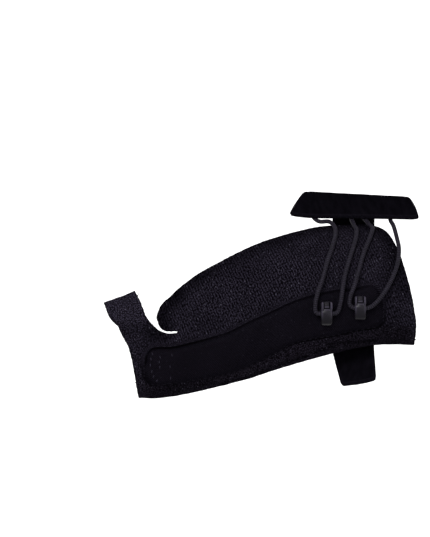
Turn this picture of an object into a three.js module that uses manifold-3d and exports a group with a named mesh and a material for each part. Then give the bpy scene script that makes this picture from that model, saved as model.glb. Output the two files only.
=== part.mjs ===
// Thumb stabilizer brace for a right hand: a padded knit wrap with a thumb loop, a splint pocket along
// the thumb, two lace guides, a braided elastic lace, and the velour panel and strap that close it.
// Millimetres. It is drawn as seen square on from the thumb side (x towards the elbow, up, near = towards
// the eye) with the origin at the middle of the wrist, then rolled about x so that the palm faces down.
import * as THREE from "three";
import { mergeVertices } from "three/addons/utils/BufferGeometryUtils.js";
import Module from "manifold-3d";

// Driving dimensions
const WRAP_LENGTH = 145.5; // tip of the thumb loop to the forearm edge
const FOREARM_REACH = 28.5; // middle of the wrist to the forearm edge
const WRIST_HEIGHT = 58; // the wrap's form at the wrist, as drawn
const WRIST_DEPTH = 56; // and square to that
const WALL = 2.6; // padded knit laminate
const CLEARANCE = 0.3; // between pieces that touch
const POCKET_RISE = 2.6; // pocket with its stay, at the middle
const POCKET_HEM = 0.9; // and at its sewn edge
const POCKET_EDGE = 3.4; // width of the slope between them
const GUIDE_WIDTH = 5.4;
const GUIDE_LENGTH = 11.2;
const GUIDE_RISE = 4.9;
const GUIDE_BEVEL = 0.45;
const WINDOW = 2.3; // recess in a guide's head
const WINDOW_DEPTH = 0.7;
const WINDOW_MARGIN = 1.35; // from the head's end
const TUNNEL_CLEARANCE = 0.4; // round the lace in a guide
const TUNNEL_FLOOR = 0.5; // under it
const TUNNEL_UP = -0.5; // from the guide's middle
const LACE_DIAMETER = 2;
const LACE_SIDES = 8;
const LACE_STEPS = 80;
const PANEL_LENGTH = 58.6; // along the forearm, at its near edge
const PANEL_WIDTH = 33; // round the wrist
const PANEL_THICKNESS = 2.2;
const PANEL_MARGIN = 1.5; // past the strap on each side, where it tapers onto it
const STRAP_WIDTH = 18.8;
const STRAP_THICKNESS = 1.7;
const STRAP_END_WIDTH = 14.8;
const TAIL_LENGTH = 32.8; // free end past the palm flap
const STRAP_TAPER = 16; // of that, the tapered end
const STRAP_DRIFT = -1.1; // how far the strap strays along the forearm by its taper
const TIP_MIDDLE = 1.45; // and the middle of its tip
const HOOK_THICKNESS = 0.8;
const HOOK_MARGIN = 1; // in from the strap's sides
const ROLL = THREE.MathUtils.degToRad(50); // turn about the forearm's axis that brings the palm down

// Lines that the cloth is cut on so that it can bend: spacing along, and round the form in degrees
const SLICE_ALONG = 5;
const SLICE_ROUND = 10;

// The worn form, as sections from the forearm edge (0) to the tip of the thumb loop (1). low and high are
// shares of WRIST_HEIGHT, and mid, deep and lean shares of WRIST_DEPTH. egg narrows a section to its top.
const FORM = [
  { at: 0, low: -0.562, high: 0.41, mid: 0, deep: 0.446, lean: -0.143, egg: 0 },
  { at: 0.127, low: -0.56, high: 0.422, mid: 0, deep: 0.446, lean: -0.143, egg: 0 },
  { at: 0.265, low: -0.629, high: 0.422, mid: 0.009, deep: 0.455, lean: -0.134, egg: 0 },
  { at: 0.402, low: -0.724, high: 0.405, mid: 0.036, deep: 0.46, lean: -0.12, egg: 0 },
  { at: 0.54, low: -0.834, high: 0.353, mid: 0.071, deep: 0.452, lean: -0.098, egg: 0 },
  { at: 0.691, low: -0.93, high: 0.224, mid: 0.143, deep: 0.37, lean: -0.036, egg: 0.05 },
  { at: 0.801, low: -0.98, high: 0.034, mid: 0.205, deep: 0.285, lean: 0, egg: 0.15 },
  { at: 0.897, low: -0.983, high: -0.121, mid: 0.232, deep: 0.236, lean: 0, egg: 0.25 },
  { at: 1, low: -0.94, high: -0.222, mid: 0.232, deep: 0.225, lean: 0, egg: 0.25 },
];

// Cut edges of the wrap on the near side, as drawn: at as in FORM, up as a share of WRIST_HEIGHT
const NEAR_CUT = {
  hole: [
    { at: 0.895, up: -0.15 },
    { at: 0.8855, up: -0.19 },
    { at: 0.876, up: -0.25 },
    { at: 0.8625, up: -0.33 },
    { at: 0.84, up: -0.4 },
    { at: 0.8165, up: -0.446 },
    { at: 0.795, up: -0.464 },
    { at: 0.766, up: -0.462 },
  ],
  slit: [
    { at: 0.762, up: -0.449 },
    { at: 0.79, up: -0.448 },
    { at: 0.812, up: -0.434 },
    { at: 0.824, up: -0.4 },
    { at: 0.828, up: -0.365 },
    { at: 0.8315, up: -0.33 },
    { at: 0.827, up: -0.28 },
    { at: 0.818, up: -0.233 },
    { at: 0.8, up: -0.186 },
    { at: 0.765, up: -0.118 },
  ],
  top: [
    { at: 0.691, up: 0.02 },
    { at: 0.62, up: 0.117 },
    { at: 0.531, up: 0.227 },
    { at: 0.452, up: 0.3 },
    { at: 0.372, up: 0.356 },
    { at: 0.276, up: 0.385 },
    { at: 0.15, up: 0.392 },
  ],
  forearm: [
    { at: 0.11, up: 0.357 },
    { at: 0.093, up: 0.31 },
    { at: 0.062, up: 0.2 },
    { at: 0.0305, up: -0.024 },
    { at: 0.011, up: -0.245 },
    { at: 0.003, up: -0.42 },
    { at: 0.006, up: -0.52 },
  ],
};

// And on the far, palm side, where nothing shows
const FAR_CUT = {
  forearm: [
    { at: 0.013, up: -0.47 },
    { at: 0.02, up: -0.3 },
    { at: 0.06, up: -0.18 },
  ],
  top: [
    { at: 0.12, up: -0.12 },
    { at: 0.276, up: -0.14 },
    { at: 0.42, up: -0.2 },
    { at: 0.56, up: -0.31 },
    { at: 0.68, up: -0.43 },
    { at: 0.77, up: -0.54 },
  ],
  slit: [
    { at: 0.8, up: -0.6 },
    { at: 0.79, up: -0.655 },
    { at: 0.75, up: -0.67 },
    { at: 0.745, up: -0.69 },
    { at: 0.79, up: -0.685 },
  ],
  hole: [
    { at: 0.835, up: -0.62 },
    { at: 0.865, up: -0.5 },
    { at: 0.887, up: -0.36 },
    { at: 0.896, up: -0.23 },
  ],
};

// The fold over the thumb's web, and the loop's edge that the thumb comes out of
const WEB_FOLD = { from: 0.999, to: 0.9 };
const THUMB_EDGE = [
  { at: 0.985, up: -0.305 },
  { at: 0.95, up: -0.412 },
  { at: 0.926, up: -0.53 },
  { at: 0.912, up: -0.64 },
  { at: 0.9, up: -0.79 },
  { at: 0.892, up: -0.92 },
  { at: 0.886, up: -1 },
];

// The pocket's long edges, as drawn
const POCKET = [
  { at: 0.877, low: -0.84, high: -0.61 },
  { at: 0.84, low: -0.885, high: -0.555 },
  { at: 0.78, low: -0.872, high: -0.547 },
  { at: 0.72, low: -0.852, high: -0.513 },
  { at: 0.66, low: -0.822, high: -0.474 },
  { at: 0.6, low: -0.79, high: -0.428 },
  { at: 0.54, low: -0.737, high: -0.352 },
  { at: 0.47, low: -0.653, high: -0.272 },
  { at: 0.4, low: -0.562, high: -0.19 },
  { at: 0.34, low: -0.523, high: -0.14 },
  { at: 0.27, low: -0.495, high: -0.1 },
  { at: 0.2, low: -0.453, high: -0.082 },
  { at: 0.14, low: -0.43, high: -0.06 },
  { at: 0.1, low: -0.41, high: -0.15 },
];
const POCKET_CORNER = 4;

// Middle of each lace guide
const GUIDES = [
  { name: "lace_guide_1", at: 0.287, up: -0.3 },
  { name: "lace_guide_2", at: 0.18, up: -0.256 },
];

// Line round the wrist that the strap and the panel lie on, out of the wrap's own reach: up as a share of
// WRIST_HEIGHT and near of WRIST_DEPTH. rise is how much higher it lies per millimetre towards the hand.
const WRIST_LINE = [
  { up: 0.43, near: 0.02, rise: 0.02 },
  { up: 0.515, near: -0.07, rise: 0.035 },
  { up: 0.59, near: -0.19, rise: 0.05 },
  { up: 0.575, near: -0.34, rise: 0.05 },
  { up: 0.45, near: -0.49, rise: 0.03 },
  { up: 0.24, near: -0.565, rise: 0.01 },
];
// Where on the form the strap meets the palm flap and where it leaves it, in degrees round from the top,
// with the step between the line's points there, and half the reach of the hook patch
const PALM = { meets: 278, leaves: 214, step: 8, hook: 14 };

// Outline of the panel, as shares of half its length and of its width, with the point that each side bends
// by. Its far end is the strap's width and a margin.
const PANEL_OUTLINE = [
  { along: -0.5, down: 0.018, bendAlong: -0.88, bendDown: 0.012 },
  { along: 0.9, down: 0.026, bendAlong: 0.2, bendDown: 0.035 },
  { along: 1, down: 0.05, bendAlong: 0.97, bendDown: 0.035 },
  { along: 0.82, down: 0.52, bendAlong: 0.96, bendDown: 0.3 },
  { end: 1, down: 1, bendAlong: 0.68, bendDown: 0.75 },
  { end: -1, down: 1, bendAlong: 0, bendDown: 1 },
  { along: -0.79, down: 0.52, bendAlong: -0.69, bendDown: 0.75 },
  { along: -1.03, down: 0.062, bendAlong: -0.93, bendDown: 0.3 },
];

// The strap's cut tip: side as a share of half its width, and back from its end as a share of that width
const STRAP_TIP = [
  { side: 1, back: 0.2 },
  { side: 0.8, back: 0.11 },
  { side: -0.865, back: 0 },
  { side: -1, back: 0.08 },
];

// Side of a guide from its foot up and over to its head: along as a share of GUIDE_LENGTH from its middle,
// rise as a share of GUIDE_RISE, with the point that each stretch bends by
const GUIDE_SIDE = [
  { along: -0.5, rise: 0.38, bendAlong: -0.5, bendRise: 0.09 },
  { along: -0.286, rise: 0.84, bendAlong: -0.5, bendRise: 0.8 },
  { along: 0.08, rise: 0.84, bendAlong: -0.036, bendRise: 0.9 },
  { along: 0.116, rise: 0.91, bendAlong: 0.098, bendRise: 0.875 },
  { along: 0.43, rise: 0.91, bendAlong: 0.273, bendRise: 0.91 },
  { along: 0.5, rise: 0.6, bendAlong: 0.5, bendRise: 0.91 },
];
const GUIDE_FOOT = -0.393;

// Route of the lace, its points chosen by hand. A point is on the wrap as drawn (up as a share of
// WRIST_HEIGHT), on the pocket beside a guide (x and up in millimetres from that guide's middle), through a
// guide (side of it), or along the line round the wrist (way in from the panel's near edge). lift is in
// millimetres, from where the lace lies on the wrap or the pocket, or from that line.
const LACE_ROUTE = [
  { x: -20, way: 6, lift: -0.4 },
  { x: -19, way: 2, lift: -0.4 },
  { x: -16.4, way: -0.8, lift: 0.2 },
  { x: -12.2, way: -1.4, lift: 0.9 },
  { x: -9.4, up: 0.379, lift: 0.7 },
  { x: -9.2, up: 0.319, lift: 0.2 },
  { x: -11, up: 0.21, lift: 0.1 },
  { x: -13.5, up: 0.083, lift: 0.1 },
  { x: -15.3, up: -0.034, lift: 0.6 },
  { beside: 0, x: -4.2, up: 9.6, lift: -0.1 },
  { beside: 0, x: -5.4, up: 4, lift: 0.2 },
  { beside: 0, x: -5, up: 0, lift: 0.6 },
  { guide: 0, side: -1 },
  { guide: 0, side: 1 },
  { beside: 0, x: 4.7, up: 0.2, lift: 0.6 },
  { beside: 0, x: 6.1, up: 4.2, lift: 0.2 },
  { beside: 0, x: 7, up: 9.6, lift: 0 },
  { x: -4.9, up: 0, lift: 0.6 },
  { x: -2.4, up: 0.147, lift: 0.1 },
  { x: -0.2, up: 0.264, lift: 0.1 },
  { x: 0.7, up: 0.352, lift: 0.3 },
  { x: -0.6, way: -2.6, lift: 0.5 },
  { x: -1.4, way: 2.6, lift: -0.4 },
  { x: 1, way: 5.6, lift: -0.4 },
  { x: 4, way: 3, lift: -0.4 },
  { x: 6.4, way: -2.2, lift: 0.4 },
  { x: 8, up: 0.372, lift: 0.7 },
  { x: 6.6, up: 0.29, lift: 0.1 },
  { x: 3.9, up: 0.179, lift: 0.1 },
  { x: 1.7, up: 0.055, lift: 0.3 },
  { beside: 1, x: -2.8, up: 10.4, lift: -0.3 },
  { beside: 1, x: -4.8, up: 4.8, lift: 0.2 },
  { beside: 1, x: -5, up: 1, lift: 0.6 },
  { guide: 1, side: -1 },
  { guide: 1, side: 1 },
  { beside: 1, x: 5.1, up: 0.4, lift: 0.6 },
  { beside: 1, x: 9, up: 4.2, lift: 0.2 },
  { x: 15.7, up: -0.067, lift: 1.1 },
  { x: 19.1, up: 0.072, lift: 0.1 },
  { x: 20.2, up: 0.2, lift: 0.1 },
  { x: 19.1, up: 0.31, lift: 0.1 },
  { x: 17.7, way: -2.8, lift: 0.7 },
  { x: 16.6, way: 1.4, lift: -0.4 },
  { x: 16, way: 6, lift: -0.4 },
];
// How far the lace reaches in under the panel, where the strap starts
const LACE_TUCK = 8;

// Colours of the finishes
const FINISH = {
  knit: { color: 0x17151a, roughness: 0.95, metalness: 0 },
  twill: { color: 0x131216, roughness: 0.85, metalness: 0 },
  velour: { color: 0x141216, roughness: 1, metalness: 0 },
  braid: { color: 0x26262a, roughness: 0.7, metalness: 0 },
  plastic: { color: 0x2a2b2f, roughness: 0.45, metalness: 0 },
};

// Smooth curve through a column of a table
function along(table, key, column, value) {
  const last = table.length - 1;
  let i = 0;
  while (i < last - 1 && value > table[i + 1][key]) i++;
  const slope = (a, b) =>
    (table[b][column] - table[a][column]) / (table[b][key] - table[a][key]);
  const step = table[i + 1][key] - table[i][key];
  const share = THREE.MathUtils.clamp((value - table[i][key]) / step, 0, 1);
  const leaving = slope(Math.max(i - 1, 0), i + 1) * step;
  const arriving = slope(i, Math.min(i + 2, last)) * step;
  const s2 = share * share;
  const s3 = s2 * share;
  return (
    (2 * s3 - 3 * s2 + 1) * table[i][column] +
    (s3 - 2 * s2 + share) * leaving +
    (3 * s2 - 2 * s3) * table[i + 1][column] +
    (s3 - s2) * arriving
  );
}

const xAt = (at) => FOREARM_REACH - at * WRAP_LENGTH;
const atX = (x) => (FOREARM_REACH - x) / WRAP_LENGTH;

// The form's section at x
function section(x) {
  const value = (column) => along(FORM, "at", column, THREE.MathUtils.clamp(atX(x), 0, 1));
  const low = value("low") * WRIST_HEIGHT;
  const high = value("high") * WRIST_HEIGHT;
  return {
    middle: (low + high) / 2,
    half: (high - low) / 2,
    mid: value("mid") * WRIST_DEPTH,
    deep: value("deep") * WRIST_DEPTH,
    lean: value("lean") * WRIST_DEPTH,
    egg: value("egg"),
  };
}

// A point of the form: round runs from 0 at the top, down the near side to 180, and up the far side to 360
function onForm(x, round) {
  const s = section(x);
  const c = Math.cos(THREE.MathUtils.degToRad(round));
  const n = Math.sin(THREE.MathUtils.degToRad(round));
  return new THREE.Vector3(x, s.middle + s.half * c, s.mid + s.deep * n * (1 - s.egg * c) + s.lean * c);
}

// How far round the form a height lies, on the near or the far side
function roundAt(x, up, far = false) {
  const s = section(x);
  const round = THREE.MathUtils.radToDeg(Math.acos(THREE.MathUtils.clamp((up - s.middle) / s.half, -1, 1)));
  return far ? 360 - round : round;
}

// Outward normal of any surface point(a, b), with a to the elbow and b down the near side
function outward(point, a, b) {
  const step = 0.05;
  const da = point(a + step, b).sub(point(a - step, b));
  const db = point(a, b + step).sub(point(a, b - step));
  return db.cross(da).normalize();
}

const raised = (point, a, b, height) => point(a, b).addScaledVector(outward(point, a, b), height);

// The place where something that stands off the form by height shows at x and up, as drawn
function seatFor(x, up, height) {
  const seat = { x, up };
  for (let i = 0; i < 8; i++) {
    const p = raised(onForm, seat.x, roundAt(seat.x, seat.up), height);
    seat.x += x - p.x;
    seat.up += up - p.y;
  }
  return seat;
}

// Cuts flat triangles on the lines axis = value, so that they can bend there. A point this near is on it.
const NEAR_LINE = 0.02;
function slice(triangles, axis, values) {
  let pieces = triangles;
  for (const value of values) {
    const next = [];
    for (const t of pieces) {
      for (const p of t) if (Math.abs(p[axis] - value) < NEAR_LINE) p[axis] = value;
      const side = t.map((p) => Math.sign(p[axis] - value));
      if (!side.includes(1) || !side.includes(-1)) {
        next.push(t);
        continue;
      }
      const halves = { 1: [], "-1": [] };
      for (let i = 0; i < 3; i++) {
        const j = (i + 1) % 3;
        if (side[i] >= 0) halves[1].push(t[i]);
        if (side[i] <= 0) halves[-1].push(t[i]);
        if (side[i] * side[j] >= 0) continue;
        const [p, q] = side[i] > 0 ? [t[i], t[j]] : [t[j], t[i]];
        const cut = p.clone().lerp(q, (value - p[axis]) / (q[axis] - p[axis]));
        cut[axis] = value;
        halves[1].push(cut);
        halves[-1].push(cut);
      }
      for (const polygon of [halves[1], halves[-1]])
        for (let i = 1; i < polygon.length - 1; i++) next.push([polygon[0], polygon[i], polygon[i + 1]]);
    }
    pieces = next;
  }
  return pieces;
}

function marks(from, to, spacing) {
  const count = Math.max(1, Math.round((to - from) / spacing));
  return Array.from({ length: count - 1 }, (_, i) => from + ((to - from) * (i + 1)) / count);
}

const nameOf = (p) => p.x + "," + p.y;

// The loops round the edge of a patch of flat triangles
function loopsRound(triangles) {
  const edges = new Map();
  for (const t of triangles)
    for (let i = 0; i < 3; i++) {
      const p = t[i];
      const q = t[(i + 1) % 3];
      const back = nameOf(q) + "|" + nameOf(p);
      if (edges.has(back)) edges.delete(back);
      else edges.set(nameOf(p) + "|" + nameOf(q), [p, q]);
    }
  const after = new Map();
  for (const [p, q] of edges.values()) after.set(nameOf(p), [p, q]);
  const loops = [];
  while (after.size) {
    const first = after.keys().next().value;
    const loop = [];
    let here = first;
    while (after.has(here)) {
      const [p, q] = after.get(here);
      after.delete(here);
      loop.push(p);
      here = nameOf(q);
    }
    loops.push(loop);
  }
  return loops;
}

// A flat outline as triangles cut on a grid, with no point between the crossings of the grid
function gridded(outline, linesA, linesB) {
  const flat = outline.map((p) => new THREE.Vector2(p.x, p.y));
  if (THREE.ShapeUtils.isClockWise(flat)) flat.reverse();
  const whole = THREE.ShapeUtils.triangulateShape(flat, []).map((f) => f.map((i) => flat[i]));
  const cells = new Map();
  for (const t of slice(slice(whole, "x", linesA), "y", linesB)) {
    const area = (t[1].x - t[0].x) * (t[2].y - t[0].y) - (t[2].x - t[0].x) * (t[1].y - t[0].y);
    if (area === 0) continue;
    const a = linesA.filter((v) => v < (t[0].x + t[1].x + t[2].x) / 3).length;
    const b = linesB.filter((v) => v < (t[0].y + t[1].y + t[2].y) / 3).length;
    const key = a + "," + b;
    cells.set(key, [...(cells.get(key) ?? []), t]);
  }
  const onOneLine = (p, q, r, axis, lines) =>
    Math.abs(p[axis] - q[axis]) < 1e-6 &&
    Math.abs(r[axis] - q[axis]) < 1e-6 &&
    lines.some((v) => Math.abs(v - q[axis]) < 1e-6);
  const faces = [];
  for (const triangles of cells.values())
    for (const loop of loopsRound(triangles)) {
      const kept = loop.filter((q, i) => {
        const p = loop[(i + loop.length - 1) % loop.length];
        const r = loop[(i + 1) % loop.length];
        return !onOneLine(p, q, r, "x", linesA) && !onOneLine(p, q, r, "y", linesB);
      });
      if (kept.length < 3) continue;
      for (const f of THREE.ShapeUtils.triangulateShape(kept, [])) faces.push(f.map((i) => kept[i]));
    }
  return faces;
}

// Cloth cut to a flat outline, bent onto a surface and given its thickness. point(a, b) is the surface, and
// bottom(a, b) and top(a, b) are the heights of the cloth's two faces above it.
function cloth(outline, linesA, linesB, point, bottom, top) {
  const keyOf = (p) => p.toArray().map((v) => Math.round(v * 2000)).join();
  const corners = new Map();
  const cornerOf = (p) => {
    const seat = point(p.x, p.y);
    const key = keyOf(seat);
    if (!corners.has(key))
      corners.set(key, {
        below: raised(point, p.x, p.y, bottom(p.x, p.y)),
        above: raised(point, p.x, p.y, top(p.x, p.y)),
      });
    return [key, corners.get(key)];
  };
  const positions = [];
  const put = (...points) => points.forEach((p) => positions.push(p.x, p.y, p.z));
  const edges = new Map();
  for (const face of gridded(outline, linesA, linesB)) {
    const [a, b, c] = face.map(cornerOf);
    if (a[0] === b[0] || b[0] === c[0] || c[0] === a[0]) continue;
    put(a[1].above, c[1].above, b[1].above);
    put(a[1].below, b[1].below, c[1].below);
    for (const [p, q] of [[a, b], [b, c], [c, a]]) {
      const back = q[0] + "|" + p[0];
      if (edges.has(back)) edges.delete(back);
      else edges.set(p[0] + "|" + q[0], [p[1], q[1]]);
    }
  }
  for (const [p, q] of edges.values()) {
    put(p.above, q.above, p.below);
    put(q.above, q.below, p.below);
  }
  const geometry = new THREE.BufferGeometry();
  geometry.setAttribute("position", new THREE.Float32BufferAttribute(positions, 3));
  return mergeVertices(geometry, 1e-4);
}

// The wrap
function wrapOutline() {
  const side = (rows, far) =>
    rows.map((r) => new THREE.Vector2(xAt(r.at), roundAt(xAt(r.at), r.up * WRIST_HEIGHT, far)));
  return [
    new THREE.Vector2(xAt(WEB_FOLD.from), 0),
    new THREE.Vector2(xAt(WEB_FOLD.to), 0),
    ...side(NEAR_CUT.hole, false),
    ...side(NEAR_CUT.slit, false),
    ...side(NEAR_CUT.top, false),
    ...side(NEAR_CUT.forearm, false),
    ...side(FAR_CUT.forearm, true),
    ...side(FAR_CUT.top, true),
    ...side(FAR_CUT.slit, true),
    ...side(FAR_CUT.hole, true),
    new THREE.Vector2(xAt(WEB_FOLD.to), 360),
    new THREE.Vector2(xAt(WEB_FOLD.from), 360),
    ...side(THUMB_EDGE, true),
    ...side([...THUMB_EDGE].reverse().slice(1), false),
  ];
}

function wrap() {
  return cloth(
    wrapOutline(),
    marks(xAt(1), xAt(0), SLICE_ALONG),
    marks(0, 360, SLICE_ROUND),
    onForm,
    () => -WALL,
    () => 0,
  );
}

// The splint pocket: drawn flat as x and a share across, from -1 at its high edge to 1 at its low edge
const POCKET_FROM = xAt(POCKET[0].at);
const POCKET_TO = xAt(POCKET[POCKET.length - 1].at);
const POCKET_BY_AT = [...POCKET].reverse();

function onPocket(x, across) {
  const at = THREE.MathUtils.clamp(atX(x), POCKET_BY_AT[0].at, POCKET[0].at);
  const low = along(POCKET_BY_AT, "at", "low", at) * WRIST_HEIGHT;
  const high = along(POCKET_BY_AT, "at", "high", at) * WRIST_HEIGHT;
  return onForm(x, roundAt(x, (low + high) / 2 - (across * (high - low)) / 2));
}

function pocketHalfWidth(x) {
  return onPocket(x, -1).distanceTo(onPocket(x, 1)) / 2;
}

function pocketThickness(x, across) {
  const side = (1 - Math.abs(across)) * pocketHalfWidth(x);
  const end = Math.min(x - POCKET_FROM, POCKET_TO - x);
  const share = THREE.MathUtils.clamp(Math.min(side, end) / POCKET_EDGE, 0, 1);
  return POCKET_HEM + (POCKET_RISE - POCKET_HEM) * Math.sin((share * Math.PI) / 2);
}

function pocket() {
  const shape = new THREE.Shape();
  const corner = POCKET_CORNER;
  const bend = corner / pocketHalfWidth((POCKET_FROM + POCKET_TO) / 2);
  shape.moveTo(POCKET_FROM, -1 + bend);
  shape.quadraticCurveTo(POCKET_FROM, -1, POCKET_FROM + corner, -1);
  shape.lineTo(POCKET_TO - corner, -1);
  shape.quadraticCurveTo(POCKET_TO, -1, POCKET_TO, -1 + bend);
  shape.lineTo(POCKET_TO, 1 - bend);
  shape.quadraticCurveTo(POCKET_TO, 1, POCKET_TO - corner, 1);
  shape.lineTo(POCKET_FROM + corner, 1);
  shape.quadraticCurveTo(POCKET_FROM, 1, POCKET_FROM, 1 - bend);
  const ends = [POCKET_EDGE / 2, POCKET_EDGE];
  return cloth(
    shape.getPoints(4),
    [
      ...ends.map((e) => POCKET_FROM + e),
      ...marks(POCKET_FROM + POCKET_EDGE, POCKET_TO - POCKET_EDGE, SLICE_ALONG),
      ...ends.map((e) => POCKET_TO - e),
    ],
    [-0.85, -0.65, -0.25, 0.25, 0.65, 0.85],
    onPocket,
    () => CLEARANCE,
    (x, across) => CLEARANCE + pocketThickness(x, across),
  );
}

// Manifold solids for the joins and cuts
const wasm = await Module();
wasm.setup();

function solid(geometry) {
  const bare = geometry.index ? geometry.toNonIndexed() : geometry.clone();
  bare.deleteAttribute("normal");
  bare.deleteAttribute("uv");
  const merged = mergeVertices(bare, 1e-4);
  return new wasm.Manifold(
    new wasm.Mesh({
      numProp: 3,
      vertProperties: merged.attributes.position.array,
      triVerts: new Uint32Array(merged.index.array),
    }),
  );
}

function geometryOf(made) {
  const { vertProperties, triVerts } = made.getMesh();
  const geometry = new THREE.BufferGeometry();
  geometry.setAttribute("position", new THREE.BufferAttribute(new Float32Array(vertProperties), 3));
  geometry.setIndex(new THREE.BufferAttribute(new Uint32Array(triVerts), 1));
  return geometry;
}

// A lace guide: its own length upright (y), its width in x, standing off the pocket in z
const TUNNEL_RADIUS = LACE_DIAMETER / 2 + TUNNEL_CLEARANCE;
const TUNNEL_RISE = TUNNEL_RADIUS + TUNNEL_FLOOR;
const TUNNEL_SIDES = 14;
function guide() {
  const half = GUIDE_LENGTH / 2;
  const profile = new THREE.Shape();
  profile.moveTo(GUIDE_FOOT * GUIDE_LENGTH, GUIDE_BEVEL);
  for (const row of GUIDE_SIDE)
    profile.quadraticCurveTo(
      row.bendAlong * GUIDE_LENGTH,
      row.bendRise * GUIDE_RISE,
      row.along * GUIDE_LENGTH,
      row.rise * GUIDE_RISE,
    );
  profile.lineTo(half, GUIDE_BEVEL);
  const body = new THREE.ExtrudeGeometry(profile, {
    depth: GUIDE_WIDTH - 2 * GUIDE_BEVEL,
    bevelEnabled: true,
    bevelThickness: GUIDE_BEVEL,
    bevelSize: GUIDE_BEVEL,
    bevelOffset: -GUIDE_BEVEL / 2,
    bevelSegments: 2,
    curveSegments: 4,
  });
  body.translate(0, 0, -GUIDE_WIDTH / 2 + GUIDE_BEVEL);
  const turn = new THREE.Matrix4().makeBasis(
    new THREE.Vector3(0, 1, 0),
    new THREE.Vector3(0, 0, 1),
    new THREE.Vector3(1, 0, 0),
  );
  body.applyMatrix4(turn);
  const tunnel = new THREE.CylinderGeometry(TUNNEL_RADIUS, TUNNEL_RADIUS, GUIDE_WIDTH * 2, TUNNEL_SIDES);
  tunnel.rotateZ(Math.PI / 2);
  tunnel.translate(0, TUNNEL_UP, TUNNEL_RISE);
  const recess = new THREE.BoxGeometry(WINDOW, WINDOW, WINDOW_DEPTH * 2);
  recess.translate(0, half - WINDOW_MARGIN - WINDOW / 2, GUIDE_RISE);
  return geometryOf(solid(body).subtract(solid(tunnel)).subtract(solid(recess)));
}

// Seat of a guide: on the pocket's face, upright as drawn
function guideSeat(row) {
  const height = 2 * CLEARANCE + POCKET_RISE;
  const seat = seatFor(xAt(row.at), row.up * WRIST_HEIGHT, height + GUIDE_RISE / 2);
  const round = roundAt(seat.x, seat.up);
  const out = outward(onForm, seat.x, round);
  const across = new THREE.Vector3(1, 0, 0).addScaledVector(out, -out.x).normalize();
  const upright = out.clone().cross(across);
  const place = new THREE.Matrix4().makeBasis(across, upright, out);
  return place.setPosition(raised(onForm, seat.x, round, height));
}

// The lace
function lacePoint(p) {
  if (p.guide !== undefined) {
    const mouth = new THREE.Vector3((p.side * GUIDE_WIDTH) / 2, TUNNEL_UP, TUNNEL_RISE);
    return mouth.applyMatrix4(guideSeat(GUIDES[p.guide]));
  }
  if (p.way !== undefined) return raised(onWrist, p.x, -p.way, p.lift);
  const row = GUIDES[p.beside];
  const x = row ? xAt(row.at) + p.x : p.x;
  const up = row ? row.up * WRIST_HEIGHT + p.up : p.up * WRIST_HEIGHT;
  const floor = row ? 2 * CLEARANCE + POCKET_RISE : CLEARANCE;
  const lift = floor + LACE_DIAMETER / 2 + p.lift;
  const seat = seatFor(x, up, lift);
  return raised(onForm, seat.x, roundAt(seat.x, seat.up), lift);
}

function lace() {
  const ring = new THREE.Shape().absarc(0, 0, LACE_DIAMETER / 2, 0, 2 * Math.PI);
  return new THREE.ExtrudeGeometry(ring, {
    steps: LACE_STEPS,
    curveSegments: LACE_SIDES / 2,
    bevelEnabled: false,
    extrudePath: new THREE.CatmullRomCurve3(LACE_ROUTE.map(lacePoint)),
  });
}

// The line round the wrist at x: free over the back and far side, then on the palm flap, then straight off it
function wristCurve(x) {
  const lift = CLEARANCE + HOOK_THICKNESS + CLEARANCE + STRAP_THICKNESS / 2;
  const points = WRIST_LINE.map(
    (p) => new THREE.Vector3(x, p.up * WRIST_HEIGHT - p.rise * x, p.near * WRIST_DEPTH),
  );
  for (let round = PALM.meets; round >= PALM.leaves; round -= PALM.step)
    points.push(raised(onForm, x, round, lift));
  const last = points[points.length - 1];
  const heading = last.clone().sub(points[points.length - 2]).normalize();
  for (const share of [0.5, 1]) points.push(last.clone().addScaledVector(heading, share * TAIL_LENGTH));
  return new THREE.CatmullRomCurve3(points);
}

const curves = new Map();
function curveAt(x) {
  const key = Math.round(x * 50);
  if (!curves.has(key)) {
    const curve = wristCurve(key / 50);
    curve.arcLengthDivisions = 400;
    curves.set(key, curve);
  }
  return curves.get(key);
}
const LINE_LENGTH = curveAt(0).getLength();

// A point of that line at x, way in from the panel's near edge. fall is the same measured down the near side.
function wristPoint(x, way) {
  const curve = curveAt(x);
  const share = way / LINE_LENGTH;
  if (share < 0) return curve.getPointAt(0).addScaledVector(curve.getTangentAt(0), way);
  if (share > 1) return curve.getPointAt(1).addScaledVector(curve.getTangentAt(1), way - LINE_LENGTH);
  return curve.getPointAt(share);
}

const onWrist = (x, fall) => wristPoint(x, -fall);
const laidRound = (shape, bends) => shape.getPoints(bends).map((p) => new THREE.Vector2(p.x, -p.y));

function strap() {
  const from = LACE_TUCK + CLEARANCE;
  const half = STRAP_WIDTH / 2;
  const end = STRAP_END_WIDTH / 2;
  const taper = LINE_LENGTH - STRAP_TAPER;
  const shape = new THREE.Shape();
  shape.moveTo(-half, from);
  shape.lineTo(half, from);
  shape.lineTo(half + STRAP_DRIFT, taper);
  for (const row of STRAP_TIP)
    shape.lineTo(row.side * end + TIP_MIDDLE, LINE_LENGTH - row.back * STRAP_END_WIDTH);
  shape.lineTo(-half + STRAP_DRIFT, taper);
  return cloth(
    laidRound(shape, 2),
    marks(-half, half, SLICE_ALONG),
    marks(-LINE_LENGTH, -from, SLICE_ALONG),
    onWrist,
    () => -STRAP_THICKNESS / 2,
    () => STRAP_THICKNESS / 2,
  );
}

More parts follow.
